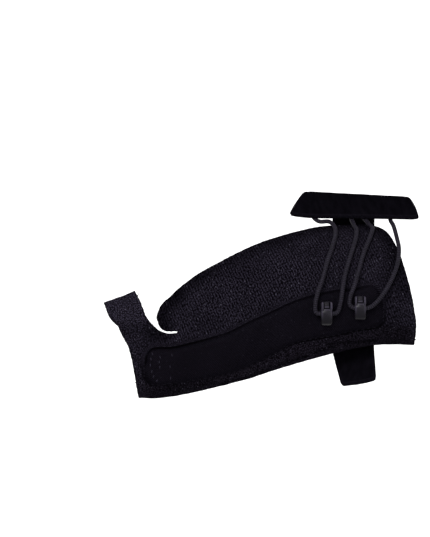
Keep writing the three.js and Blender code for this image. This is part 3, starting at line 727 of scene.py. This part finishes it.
# Creases and ridges of the cloth below the pocket, as drawn: how far they stand out, their width, their line
FOLDS = (
    (-0.5, 0.5, ((-72, -50.7), (-49, -45.1), (-32.5, -40), (-25.6, -38.1), (-18.1, -35.6), (-13, -33.7),
                 (-9.8, -33.2))),
    (-0.4, 0.45, ((-25.6, -35.8), (-12.8, -32.2), (-8.4, -31.4), (1.2, -31), (6.5, -30.7), (9.8, -30.5))),
    (-0.3, 0.5, ((-104, -40), (-106, -30), (-109, -22))),
    (0.35, 0.8, ((-100.9, -50.7), (-88.4, -51.2), (-81.4, -50.2), (-72.1, -48.4), (-60, -45.4))),
    (0.3, 0.7, ((-46, -42.6), (-30, -37.2), (-18, -33.6), (-4, -30.4), (9, -28.6))),
)
# Creases of the cloth below the pocket, darkened with painted shade, as drawn
CREASES = (
    ((-17.8, -35.7), (-10.2, -33.3)),
    ((-12.8, -32.2), (-8.4, -31.2), (1.2, -31), (9.3, -30.6)),
    ((-62, -50.5), (-48, -46.8), (-33, -41.2), (-22, -37.6)),
)
# Where the flap's tip turns in, as drawn
TIP_EDGE = ((-91, -24.2), (-92, -20.5), (-92.6, -19.3), (-91.4, -15), (-89.7, -12), (-87, -9.6))


def form_side(rows, far=False):
    at, up = np.array(rows, float).T
    x = x_at(at)
    return list(zip(x, turn_at(x, up * HEIGHT, far) * TURN_MM))


def wrap_outline(rng):
    """The flat wrap's outline as x and turn, and its slightly ragged cut line."""
    tip, root = x_at(WEB_FOLD)
    hole = [(root, 0), *form_side(NEAR_HOLE)]
    flap = [*form_side(NEAR_FLAP), *form_side(FAR_FLAP, True)]
    far_hole = [*form_side(FAR_HOLE, True), (root, WHOLE_TURN)]
    thumb = [(tip, WHOLE_TURN), *form_side(THUMB_EDGE, True), *form_side(THUMB_EDGE[-2::-1]), (tip, 0)]
    lines = [spaced(smooth_line(points), EDGE_STEP) for points in (hole, flap, far_hole, thumb)]
    outline = np.vstack(lines)
    for line in lines:
        line[2:-2] += rng.normal(0, RAGGED, line[2:-2].shape)
    return outline, np.vstack(lines)


def round_lengths():
    """How far round each section a turn lies, in millimetres from its lowest point."""
    x = np.linspace(x_at(1), x_at(0), 60)
    turn = np.arange(0, 361, 3.0)
    ring = np.stack([on_form(np.full(len(turn), value), turn) for value in x])
    steps = np.linalg.norm(np.diff(ring, axis=1), axis=-1)
    lengths = np.concatenate([np.zeros((len(x), 1)), np.cumsum(steps, axis=1)], axis=1)
    return x, turn, lengths - lengths[:, [len(turn) // 2]]


def round_length(x, turn, table=round_lengths()):
    xs, turns, lengths = table
    i = np.clip((x - xs[0]) / (xs[1] - xs[0]), 0, len(xs) - 1.001)
    j = np.clip(turn / turns[1], 0, len(turns) - 1.001)
    return grid_value(lengths, i, j)


def lumps(x, v, step):
    """Soft unevenness from a few crossing waves, about -1 to 1."""
    rng = np.random.default_rng(int(step * 10))
    total = 0
    for _ in range(7):
        way = rng.uniform(0, math.pi)
        length = step * rng.uniform(0.7, 1.5)
        along = x * math.cos(way) + v * math.sin(way)
        total = total + np.sin(along * 2 * math.pi / length + rng.uniform(0, 6))
    return total / 4


def under_pocket(x, up):
    """1 where the pocket covers the wrap, easing to 0 just outside it."""
    low, high = pocket_edges(x)
    side = np.minimum(up - low, high - up)
    end = np.minimum(x - POCKET_FROM, POCKET_TO - x)
    return ease(np.minimum(side, end), -1.2, 0.4)


def wrap_relief(x, turn, v, inset):
    """How far the worn cloth stands out from the plain form."""
    near = turn <= 180
    up = on_form(x, turn)[:, 1]
    height = 0.13 * lumps(x, v, 14) + 0.06 * lumps(x, v, 5)
    for depth, width, line in FOLDS:
        height = height + depth * near * ridge(line_distance(x, up, line), width)
    tip = near * ridge(line_distance(x, up, TIP_EDGE), TIP_REACH)
    height = height * ease(inset, -0.2, 1.5) - TIP_SINK * tip
    return height * (1 - near * under_pocket(x, up))


def wrap_tone(x, turn, inset):
    """How bright the wrap's cloth is by place, with painted light where the web strip faces the light,
    painted shade at the flap's tip, along its top edge, at its elbow end and in the creases, and a lighter
    band below the pocket that darkens towards its ends; how loose its loops are and how fluffy it is.
    """
    near = turn <= 180
    up = on_form(x, turn)[:, 1]
    # Painted light: the web strip is lighter where it faces the light, most at its top
    web = ease(-x, 92, 98) * near
    web_top = web * ease(up, -27, -19)
    band = web * (1 - ease(up, -30, -24))
    low, high = pocket_edges(x)
    below = near * (1 - ease(up, low - 1, low + 1)) * ease(x, -112, -95)
    # Painted shade where the flap's tip turns away from the light
    tip = near * (1 - ease(line_distance(x, up, TIP_EDGE), 4, 9.5))
    tone = 1 + 1.1 * web_top + 0.3 * band - 0.6 * tip
    # Painted shade along the flap's top edge, where it turns away, and at the elbow end, with a little
    # painted light low on the elbow end
    top_edge = (1 - ease(inset, 1, 9)) * (1 - web) * (1 - below) * ease(up, -16, -6)
    elbow_end = ease(x, 8, 20) - 1.3 * ease(x, 15, 25) * (1 - ease(up, -4, 4))
    tone = tone * (1 - 0.25 * near * elbow_end * (1 - below)) * (1 - 0.5 * near * top_edge)
    rim = below * (1 - ease(inset, 2.5, 4))
    tone = tone * (1 + below * (0.3 - 0.45 * (1 - ease(x, -72, -58)) - 0.45 * ease(x, 6, 16)) + 0.25 * rim)
    # Painted shade in the creases
    for line in CREASES:
        tone = tone * (1 - 0.6 * near * ridge(line_distance(x, up, line), CREASE_WIDTH))
    return tone, np.clip(web + below, 0, 1), np.clip(below, 0, 1)


def make_wrap():
    rows = lines_between(x_at(1), x_at(0), CLOTH_GRID)
    outline, cut = wrap_outline(np.random.default_rng(WRAP_SEED))
    columns = lines_between(0, WHOLE_TURN, CLOTH_GRID)
    obj = add_mesh("wrap_cloth", cut_cloth(outline, RIM, rows, columns, cut))
    x, b, _ = mesh_places(obj)
    turn = np.clip(b / TURN_MM, 0, 360)
    on_fold = (cut[:, 1] < 1e-6) | (cut[:, 1] > WHOLE_TURN - 1e-6)
    inset = np.full(len(x), 1e9)
    for i, start in enumerate(cut):
        after = (i + 1) % len(cut)
        if not (on_fold[i] and on_fold[after]):
            inset = np.minimum(inset, line_distance(x, b, (start, cut[after])))
    v = round_length(x, turn)
    keep_uv(obj, x, v)
    tone, loops, fluff = wrap_tone(x, turn, inset)
    keep_shares(obj, inset=inset, tone=tone, loops=loops, fluff=fluff)
    height = wrap_relief(x, turn, v, inset)
    place(obj, raised(on_form, x, turn, height))
    mend(obj, 0.03)
    with_wall(obj, WALL, WRAP_EDGE)
    return finish_piece(obj, "knit", (knit, lining, foam), "wrap")


# The splint pocket
def pocket_edges(x):
    low = table_curve(POCKET, 1, at_x(x)) * HEIGHT
    high = table_curve(POCKET, 2, at_x(x)) * HEIGHT
    return low, high


def on_pocket(x, across):
    low, high = pocket_edges(x)
    return on_form(x, turn_at(x, (low + high) / 2 - across * (high - low) / 2))


POCKET_FROM = x_at(POCKET[-1][0])
POCKET_TO = x_at(POCKET[0][0])
POCKET_GAP = 0.05
POCKET_LIFT = 0.15
POCKET_GRID = (300, 84)
SOFT_HEM = 0.5
HEM_ROUND = 0.9
LOW_SEAM = 0.7
POCKET_SEAM = 2.1
POCKET_SLOPE = 2.9
STITCH_INSET = 1.2
STITCH_PITCH = 2.7
STITCH_LENGTH = 1.5
STITCH_ENDS = np.array([-0.5, 0.5]) * STITCH_LENGTH
STITCH_THICK = 0.2
TACK_SHARE = 0.9


def pocket_half(x):
    across = np.ones_like(x)
    return np.linalg.norm(on_pocket(x, -across) - on_pocket(x, across), axis=-1) / 2


POCKET_HALF = pocket_half(np.full(1, (POCKET_FROM + POCKET_TO) / 2))[0]


def pocket_inset(x, across):
    side = (1 - np.abs(across)) * pocket_half(x)
    end = np.minimum(x - POCKET_FROM, POCKET_TO - x)
    inset = POCKET_CORNER + 1.5
    corner = np.hypot(np.maximum(inset - side, 0), np.maximum(inset - end, 0))
    edge = np.where((side < inset) & (end < inset), inset - corner, np.minimum(side, end))
    return np.maximum(edge, 0)


def pocket_seam(x, across):
    """How far in from its edge the pocket is sewn down, how deep the seam bites, and 1 on the upper side."""
    upper = ease(-across, -0.3, 0.3)
    left = 1 - ease(x, -78, -58)
    bite = (0.6 + 0.4 * upper) * (1 - 0.75 * ease(x, POCKET_TO - 16, POCKET_TO - 4))
    bite = bite * (1 + left * (0.5 * upper - 0.7 * (1 - upper)))
    return LOW_SEAM + (POCKET_SEAM - LOW_SEAM) * upper, bite, upper


def pocket_height(x, across):
    """Height of the pocket's face: a flat hem, a sewn groove, then the slope up onto the stay."""
    edge = pocket_inset(x, across)
    seam, bite, _ = pocket_seam(x, across)
    hem = SOFT_HEM * (1 - rounded(1 - edge / HEM_ROUND))
    share = np.clip((edge - seam) / POCKET_SLOPE, 0, 1)
    groove = 0.35 * bite * ridge(edge - seam, 0.42)
    pulled = 0.06 * ridge(edge - seam, 1.1) * np.sin((x + across * 8) * 2 * math.pi / STITCH_PITCH)
    swell = 0.1 * lumps(x, across * 9, 16) * share
    slope = (POCKET_RISE - SOFT_HEM) * np.sin(share * math.pi / 2)
    return POCKET_LIFT + hem + slope - groove + pulled + swell


def over_pocket(x, across, height):
    return raised(on_pocket, x, across, height, 0.02)


def slab(name, count_a, count_b):
    """A closed flat slab on a grid, from 0 to 1 both ways. Its top is at 1 and its underside at 0."""
    bm = bmesh.new()
    ops.create_grid(bm, x_segments=count_a, y_segments=count_b, size=0.5)
    ops.translate(bm, verts=bm.verts[:], vec=(0.5, 0.5, 0))
    top = ops.extrude_face_region(bm, geom=bm.faces[:])
    raised_verts = [v for v in top["geom"] if isinstance(v, bmesh.types.BMVert)]
    ops.translate(bm, verts=raised_verts, vec=(0, 0, 1))
    ops.recalc_face_normals(bm, faces=bm.faces[:])
    return add_mesh(name, bm)


def make_pocket():
    obj = slab("pocket_cover", *POCKET_GRID)
    a, b, top = mesh_places(obj)
    across = b * 2 - 1
    shrink = POCKET_CORNER * rounded(1 - (1 - np.abs(across)) * POCKET_HALF / POCKET_CORNER)
    x = POCKET_FROM + shrink + a * (POCKET_TO - POCKET_FROM - 2 * shrink)
    keep_uv(obj, x, across * POCKET_HALF)
    edge = pocket_inset(x, across)
    seam, bite, upper = pocket_seam(x, across)
    # Painted shade in the seam's groove and along the pocket's lower edge; the upper hem is lighter
    groove = bite * ridge(edge - seam, 0.6)
    hem = (1 - ease(edge, seam - 1, seam)) * upper
    drawn = (0.2 + 0.8 * ease(x, -34, -24)) * (1 - 0.8 * ease(x, 8, 15))
    low_edge = (1 - ease(edge, 0.4, 1)) * (1 - upper) * drawn
    keep_shares(obj, tone=(1 - 0.5 * groove) * (1 + 0.6 * hem) * (1 - 0.75 * low_edge))
    height = np.where(top > 0.5, pocket_height(x, across), POCKET_GAP)
    place(obj, over_pocket(x, across, height))
    mend(obj, 0.001, closed=True)
    return finish_piece(obj, "twill", (twill,), "splint_pocket")


# Loose stitches at the pocket's left end in a lighter thread, partly its own colour and partly a painted
# glint, as drawn: x, up and their slope in degrees
TACKS = (
    (-93.9, -36.3, 60), (-94.6, -38.6, 80), (-95, -41.2, 95), (-94.4, -43.9, 110), (-93.7, -46, 115),
    (-92.2, -47.7, 140), (-90.4, -37.7, 70), (-90.9, -39.8, 95), (-90.7, -42, 100), (-85.9, -41.6, 80),
    (-85.8, -46.5, 95), (-84.9, -36.7, 75),
)


def capsule(bm, start, end, radius):
    """A stitch: a short rounded thread between two places, in the part's frame."""
    start, end = Vector(start), Vector(end)
    made = ops.create_uvsphere(bm, u_segments=7, v_segments=5, radius=1)
    along = (end - start) / 2
    turn = along.to_track_quat("Z", "Y").to_matrix().to_4x4()
    size = Matrix.Diagonal((radius, radius, along.length, 1))
    ops.transform(bm, verts=made["verts"], matrix=Matrix.Translation((start + end) / 2) @ turn @ size)


def sew(name, runs, made):
    """Rounded stitches on the pocket's face, each between two places there."""
    bm = bmesh.new()
    for x, across in runs:
        height = pocket_height(x, across) + STITCH_THICK * 0.3
        start, end = to_row(over_pocket(x, across, height))
        capsule(bm, start, end, STITCH_THICK * MM)
    return finish_piece(add_mesh(name, bm), "twill", (made,))


def make_stitches():
    """Stitches all round the pocket, and the loose bright ones at its left end."""
    runs = []
    corner = POCKET_CORNER + 1
    for side in (-1, 1):
        for x in np.arange(POCKET_FROM + corner, POCKET_TO - corner, STITCH_PITCH):
            ends = x + STITCH_ENDS
            runs.append((ends, side * (1 - STITCH_INSET / pocket_half(ends))))
    for x in (POCKET_FROM + STITCH_INSET, POCKET_TO - STITCH_INSET):
        for middle in np.arange(-POCKET_HALF + corner, POCKET_HALF - corner + 0.5, STITCH_PITCH):
            runs.append((np.full(2, x), (middle + STITCH_ENDS) / POCKET_HALF))
    sew("pocket_stitches", runs, thread)
    runs = []
    for x, up, slope in TACKS:
        turn = math.radians(slope)
        ends = x + STITCH_ENDS * TACK_SHARE * math.cos(turn)
        ups = up - STITCH_ENDS * TACK_SHARE * math.sin(turn)
        low, high = pocket_edges(ends)
        runs.append((ends, (low + high - 2 * ups) / (high - low)))
    sew("pocket_tacks", runs, bright_thread)


# Lace panel and strap
VELOUR_EDGE = 0.45
WELD_DEPTH = 0.22
WELD_WIDTH = 0.5
PANEL_TONE = 1.15
PANEL_NARROW = (STRAP_WIDTH + 2 * PANEL_MARGIN) / PANEL_LENGTH
# The panel's corners and the bends before them: along as a share of half its length, down of its width
PANEL_OUTLINE = (
    (-0.5, 0.018, -0.88, 0.012), (0.9, 0.026, 0.2, 0.035), (1, 0.05, 0.97, 0.035),
    (0.82, 0.52, 0.96, 0.3), (PANEL_NARROW, 1, 0.68, 0.75), (-PANEL_NARROW, 1, 0, 1),
    (-0.79, 0.52, -0.69, 0.75), (-1.03, 0.062, -0.93, 0.3),
)
# The strap's tip: across as a share of half its end width, back from its end as a share of the whole width
STRAP_TIP = ((1, 0.2), (0.86, 0.13), (0.4, 0.05), (-0.2, 0), (-1.04, 0), (-1.15, 0.06))


def panel_outline():
    size = np.array([PANEL_LENGTH / 2, PANEL_WIDTH])
    here = np.array(PANEL_OUTLINE[-1][:2]) * size
    outline = []
    for row in PANEL_OUTLINE:
        there, bend = np.array(row[:2]) * size, np.array(row[2:]) * size
        t = np.linspace(0, 1, 20)[:, None]
        line = here * (1 - t) ** 2 + bend * 2 * t * (1 - t) + there * t**2
        outline += list(spaced(line, EDGE_STEP)[1:])
        here = there
    return [(a, -b) for a, b in outline]


def make_velour(node, outline, along, falls, rim, top, wall, tone, inside):
    """A welded velour piece on the line round the form. Its grid covers two spans, along and falls."""
    lines = (lines_between(*both, 1) for both in (along, falls))
    obj = add_mesh(node + "_velour", cut_cloth(outline, rim, *lines))
    x, fall, _ = mesh_places(obj)
    keep_uv(obj, x, fall)
    inset = line_distance(x, fall, [*outline, outline[0]])
    keep_shares(obj, inset=inset, tone=tone(x, fall))
    height = top + 0.06 * lumps(x, fall, 9) - WELD_DEPTH * ridge(inset - rim, WELD_WIDTH)
    place(obj, raised(on_line, x, fall, height, 0.7))
    with_wall(obj, wall, VELOUR_EDGE)
    return finish_piece(obj, "velour", (velour, inside, backing), node)


def panel_tone(x, fall):
    return np.full_like(x, PANEL_TONE)


def make_panel():
    half = PANEL_LENGTH / 2
    top = STRAP_THICKNESS / 2 + CLEARANCE + PANEL_THICKNESS
    spans = (-half * 1.03, half), (-PANEL_WIDTH, 1)
    return make_velour("lace_panel", panel_outline(), *spans, 0.75, top, PANEL_THICKNESS, panel_tone, backing)


def strap_outline():
    half = STRAP_WIDTH / 2
    end = STRAP_END_WIDTH / 2
    taper = LINE_LENGTH - STRAP_TAPER
    start = LACE_TUCK + CLEARANCE
    corners = [(-half, start), (half, start), (half + STRAP_DRIFT, taper)]
    corners += [(side * end + TIP_MIDDLE, LINE_LENGTH - back * STRAP_END_WIDTH) for side, back in STRAP_TIP]
    corners += [(-half + STRAP_DRIFT, taper), (-half, start)]
    outline = []
    for here, there in zip(corners, corners[1:]):
        line = spaced(np.array([here, there], float), 1)
        outline += [(a, -b) for a, b in line[:-1]]
    return outline


def strap_tone(x, fall):
    """Brighter where the strap leaves the panel, painted light that lifts the shade there, and duller again
    to its tip, painted shade there.
    """
    past = -fall - LINE_LENGTH
    return 1 + 2.2 * ease(past, -34, -24) - 1.6 * ease(past, -22, -8)


def make_strap():
    half = STRAP_WIDTH / 2
    top = STRAP_THICKNESS / 2
    spans = (-half - 1, half), (-LINE_LENGTH, -LACE_TUCK)
    return make_velour("wrist_strap", strap_outline(), *spans, 0.7, top, STRAP_THICKNESS, strap_tone, velour)


def make_hook_patch():
    obj = slab("hook_tape", *HOOK_GRID)
    a, b, top = mesh_places(obj)
    half = STRAP_WIDTH / 2 - HOOK_MARGIN
    middle = (TURN_MEETS + TURN_LEAVES) / 2
    x = (a * 2 - 1) * half
    turn = middle + (b * 2 - 1) * HOOK_REACH
    rows = np.abs(np.sin(a * math.pi * HOOK_ROWS) * np.sin(b * math.pi * HOOK_ROWS))
    height = CLEARANCE + HOOK_THICKNESS * np.where(top > 0.5, 1 - HOOK_DIP * (1 - rows), 0)
    place(obj, raised(on_form, x, turn, height))
    mend(obj, 0.001, closed=True)
    return finish_piece(obj, "hook", (hook,), "hook_patch")


# The lace's route. Points lie on the wrap (x, up as a share of HEIGHT), beside a guide, through a guide
# (its side), or along the line round the form (x, way in). Their last number is their lift in millimetres.
LACE_ROUTE = (
    ("line", (-20, 6, -0.4), (-19, 2, -0.4), (-16.4, -0.8, 0.2), (-12.2, -1.4, 0.9)),
    ("wrap", (-9.4, 0.379, 0.7), (-9.2, 0.319, 0.2), (-11, 0.21, 0.1),
     (-13.5, 0.083, 0.1), (-15.3, -0.034, 0.6)),
    ("guide_1", (-4.2, 9.6, -0.1), (-5.4, 4, 0.2), (-5, 0, 0.6)),
    ("through_1", (-1, 0, 0), (1, 0, 0)),
    ("guide_1", (4.7, 0.2, 0.6), (6.1, 4.2, 0.2), (7, 9.6, 0)),
    ("wrap", (-4.9, 0, 0.6), (-2.4, 0.147, 0.1), (-0.2, 0.264, 0.1), (0.7, 0.352, 0.3)),
    ("line", (-0.6, -2.6, 0.5), (-1.4, 2.6, -0.4), (1, 5.6, -0.4), (4, 3, -0.4), (6.4, -2.2, 0.4)),
    ("wrap", (8, 0.372, 0.7), (6.6, 0.29, 0.1), (3.9, 0.179, 0.1), (1.7, 0.055, 0.3)),
    ("guide_2", (-2.8, 10.4, -0.3), (-4.8, 4.8, 0.2), (-5, 1, 0.6)),
    ("through_2", (-1, 0, 0), (1, 0, 0)),
    ("guide_2", (5.1, 0.4, 0.6), (9, 4.2, 0.2)),
    ("wrap", (15.7, -0.067, 1.1), (19.1, 0.072, 0.1), (20.2, 0.2, 0.1), (19.1, 0.31, 0.1)),
    ("line", (17.7, -2.8, 0.7), (16.6, 1.4, -0.4), (16, 6, -0.4)),
)


def guide_seat(name):
    """Where a guide sits, and its axes across, upright and out, as drawn."""
    at, up = GUIDES[name]
    height = 2 * CLEARANCE + POCKET_RISE
    seat = seat_for(x_at(at), up * HEIGHT, height + GUIDE_RISE / 2)
    turn = turn_at(seat[0], seat[1])
    out = outward(on_form, seat[0], turn)
    across = unit(np.array([1.0, 0, 0]) - out * out[0])
    return raised(on_form, seat[0], turn, height), across, np.cross(out, across), out


def lace_point(kind, x, up, lift):
    if kind == "line":
        return raised(on_line, x, -up, lift, 0.3)
    if kind.startswith("through"):
        middle, across, upright, out = guide_seat("lace_guide_" + kind[-1])
        return middle + across * x * GUIDE_WIDTH / 2 + upright * TUNNEL_UP + out * TUNNEL_RISE
    floor = CLEARANCE
    up = up * HEIGHT if kind == "wrap" else up
    if kind.startswith("guide"):
        at, middle = GUIDES["lace_" + kind]
        x, up = x + x_at(at), up + middle * HEIGHT
        floor = 2 * CLEARANCE + POCKET_RISE
    height = floor + LACE_DIAMETER / 2 + lift
    seat = seat_for(x, up, height)
    return raised(on_form, seat[0], turn_at(seat[0], seat[1]), height)


LACE_STEP = 0.25
LACE_SIDES = 24
STRANDS = 8
STRAND_PITCH = 3.6
STRAND_RELIEF = 0.09
LACE_END = 0.8


def make_lace():
    route = [lace_point(kind, *point) for kind, *points in LACE_ROUTE for point in points]
    line = spaced(smooth_line(route, 30), LACE_STEP)
    heading = unit(np.gradient(line, axis=0))
    side = [unit(np.cross(heading[0], (0, 0, 1)))]
    for along in heading[1:]:
        side.append(unit(side[-1] - along * np.dot(side[-1], along)))
    side = np.array(side)
    over = np.cross(heading, side)
    bm = bmesh.new()
    ops.create_grid(bm, x_segments=len(line) - 1, y_segments=LACE_SIDES, size=0.5)
    obj = add_mesh("lace_braid", bm)
    a, b, _ = mesh_places(obj)
    ring = np.clip(np.round((a + 0.5) * (len(line) - 1)).astype(int), 0, len(line) - 1)
    angle = (b + 0.5) * 2 * math.pi
    way = ring * LACE_STEP
    wave = way / STRAND_PITCH * 2 * math.pi
    one = np.sin(angle * STRANDS / 2 + wave)
    two = np.sin(angle * STRANDS / 2 - wave)
    yarn = np.maximum(np.abs(one), np.abs(two))
    radius = LACE_DIAMETER / 2 * (1 - STRAND_RELIEF * (1 - yarn))
    keep_uv(obj, way, angle)
    keep_shares(obj, yarn=yarn)
    ends = np.where((ring == 0) | (ring == len(line) - 1), LACE_END, 1)
    spoke = side[ring] * np.cos(angle)[:, None] + over[ring] * np.sin(angle)[:, None]
    place(obj, line[ring] + spoke * (radius * ends)[:, None])
    mend(obj, 0.01, closed=True, sides=LACE_SIDES)
    return finish_piece(obj, "braid", (braid,), "lace")


# Lace guides: a moulded clip with a tongue between two prongs at its head and a rounded foot
GUIDE_CELL = 0.115
BASE_CELL = 0.9
GUIDE_SINK = 0.35
TUNNEL_RADIUS = 1.4
TONGUE = 1.1
GAP = 0.4
HEAD_FROM = 2.3
FOOT_CORNER = 1.5
HEAD_CORNER = 0.8
GAP_DEPTH = 1.5
PRONG_MIDDLE = 2.05
BASE_TOP = 0.5
ARCH_FLOOR = 0.45
# How far the moulding lies left of and below the guide's place in the part
GUIDE_BACK = (0.2, 0.5)
# Height of the guide's face up its middle, and of the prongs beside the tongue
GUIDE_BODY = (
    (-5.6, 0.7), (-5.3, 2), (-4.8, 2.8), (-4, 3.3), (-2.6, 3.72), (-1, 3.98), (0.3, 3.98), (1.2, 3.75),
    (2.2, 3.35), (3.6, 3.15), (5, 3), (5.6, 2.5),
)
GUIDE_PRONGS = ((-5.6, 0.7), (0.5, 4), (1.6, 4.3), (3.2, 4.5), (4.7, 4.35), (5.3, 3.9), (5.6, 3.2))


def guide_half_width(w):
    """Half the guide's width at a height, rounded in at its head and foot."""
    half = GUIDE_LENGTH / 2
    foot = FOOT_CORNER * rounded(1 - (half + w) / FOOT_CORNER)
    return GUIDE_WIDTH / 2 - 0.9 * (foot + HEAD_CORNER * rounded(1 - (half - w) / HEAD_CORNER))


def guide_head(side, w):
    """Where the tongue is, and where the gap round it is."""
    tongue = (w > HEAD_FROM + GAP) & (side < TONGUE)
    return tongue, (w > HEAD_FROM) & (side < TONGUE + GAP) & ~tongue


def guide_face(u, w):
    """Height of a guide's face: u across and w upright, in millimetres from its middle."""
    side = np.abs(u)
    tongue, gap = guide_head(side, w)
    body = table_curve(GUIDE_BODY, 1, w) - 0.3 * (side / GUIDE_WIDTH * 2) ** 2
    body = body - 0.55 * rounded(1 - (GUIDE_WIDTH / 2 - side) / 0.7)
    prongs = table_curve(GUIDE_PRONGS, 1, w) - 0.45 * ((side - PRONG_MIDDLE) / 0.6) ** 2
    on_prong = ease(side - TONGUE - GAP, -0.12, 0.12) * ease(w, HEAD_FROM - 1.2, HEAD_FROM + 0.4)
    height = body * (1 - on_prong) + np.maximum(prongs, body) * on_prong
    tongue_rise = 0.35 - 0.75 * ease(w, HEAD_FROM + GAP, HEAD_FROM + 2.2)
    return height + tongue * tongue_rise - gap * GAP_DEPTH


def guide_tone(u, w):
    """Painted highlights along the guide's sides, on the rims beside and round the tongue and on the tongue's
    lower end, with painted shade towards the foot and in the gap.
    """
    side = np.abs(u)
    tongue, gap = guide_head(side, w)
    floor = HEAD_FROM + GAP
    # Painted highlights brighter up the body and along its sides, painted shade towards the foot
    shine = 0.3 + 0.4 * ease(w, -4.5, 1.2) + 1.3 * ease(side, 1.5, 2.1) * ease(w, -3.5, 0.5)
    rim = ridge(side - TONGUE - GAP - 0.2, 0.3) * ease(w, HEAD_FROM - 0.6, HEAD_FROM)
    under = ridge(w - HEAD_FROM + 0.35, 0.4) * (1 - ease(side, 1.2, 1.9))
    # Painted highlight at the tongue's lower end, painted shade in the gap
    tip = 0.55 + 1.3 * (1 - ease(w, floor + 0.5, floor + 1.1))
    return np.where(gap, 0.1, np.where(tongue, tip, shine + 1.3 * np.maximum(rim, under)))


def guide_shape(u, w, part):
    """Heights of the arch's face and underside over the lace, or of the base under it."""
    if part == "base":
        return np.full_like(u, BASE_TOP), np.full_like(u, -GUIDE_SINK)
    away = np.abs(w - TUNNEL_UP)
    arch = TUNNEL_RISE + np.sqrt(np.clip(TUNNEL_RADIUS**2 - away**2, 0, None))
    return guide_face(u, w), np.where(away < TUNNEL_RADIUS, arch, ARCH_FLOOR)


def make_guide(name):
    middle, across, upright, out = guide_seat(name)
    middle = middle - GUIDE_BACK[0] * across - GUIDE_BACK[1] * upright
    pieces = bmesh.new()
    for part in ("arch", "base"):
        cell = GUIDE_CELL if part == "arch" else BASE_CELL
        piece = slab(name + part, round(GUIDE_WIDTH / cell), round(GUIDE_LENGTH / cell))
        a, b, top = mesh_places(piece)
        w = (b - 0.5) * GUIDE_LENGTH
        u = (a * 2 - 1) * guide_half_width(w)
        high, low = guide_shape(u, w, part)
        rise = np.where(top > 0.5, high, low)
        # The arch keeps its painted highlights and shade; the base keeps an even 1
        keep_shares(piece, tone=guide_tone(u, w) if part == "arch" else np.ones_like(u))
        place(piece, middle + np.outer(u, across) + np.outer(w, upright) + np.outer(rise, out))
        mend(piece, 0.0005, closed=True)
        pieces.from_mesh(piece.data)
        bpy.data.objects.remove(piece)
    obj = add_mesh(name + "_moulding", pieces)
    return finish_piece(obj, "guide_plastic", (satin,), name)


wrap = make_wrap()
pocket = make_pocket()
make_stitches()
panel = make_panel()
strap = make_strap()
make_hook_patch()
make_lace()
for name in GUIDES:
    make_guide(name)

# Stage, light and camera
FLOOR_SIZE = 6
FLOOR_BELOW = 0.25
FAR_CLIP = 30
LENS = 700
SENSOR = 36
FRAME_HEIGHT = 249.8
AIM = (-65.1, 3.0, 0)
PALE = (0.9, 0.9, 0.9, 1)
WHITE = (1, 1, 1, 1)
# Name, place and aim as drawn in millimetres, size in metres, watts
LIGHTS = (
    ("key", (-250, 450, 700), (-40, 0, 0), 0.35, 8),
    ("fill", (500, 100, 600), (-50, 0, 0), 0.8, 2),
)


def make_stage():
    bm = bmesh.new()
    ops.create_grid(bm, x_segments=1, y_segments=1, size=FLOOR_SIZE)
    ops.translate(bm, verts=bm.verts[:], vec=(0, 0, -FLOOR_BELOW))
    floor = add_mesh("floor", bm)
    start_material("pale floor", 0.9, 0.2).inputs["Base Color"].default_value = PALE
    floor.data.materials.append(current["made"])
    world = bpy.data.worlds.new("studio")
    world.use_nodes = True
    sky = world.node_tree.nodes["Background"].inputs
    sky["Color"].default_value = WHITE
    sky["Strength"].default_value = 1
    scene.world = world
    scene.view_settings.view_transform = "Standard"


def put(name, data, place, aim):
    """Puts a light or a camera at one place, turned to another."""
    obj = bpy.data.objects.new(name, data)
    obj.location = place
    obj.rotation_euler = (aim - place).to_track_quat("-Z", "Y").to_euler()
    scene.collection.objects.link(obj)
    return obj


def add_light(name, drawn, aim, size, watts):
    light = bpy.data.lights.new(name, "AREA")
    light.energy = watts
    light.size = size
    put(name, light, Vector(to_row(drawn)), Vector(to_row(aim)))


def make_camera():
    camera = bpy.data.cameras.new("camera")
    camera.lens = LENS
    camera.sensor_width = SENSOR
    camera.clip_end = FAR_CLIP
    aim = Vector(to_row(AIM))
    away = Vector(to_row((0, 0, FRAME_HEIGHT * LENS / SENSOR)))
    scene.camera = put("camera", camera, aim + away, aim)


make_stage()
make_camera()
for row in LIGHTS:
    add_light(*row)
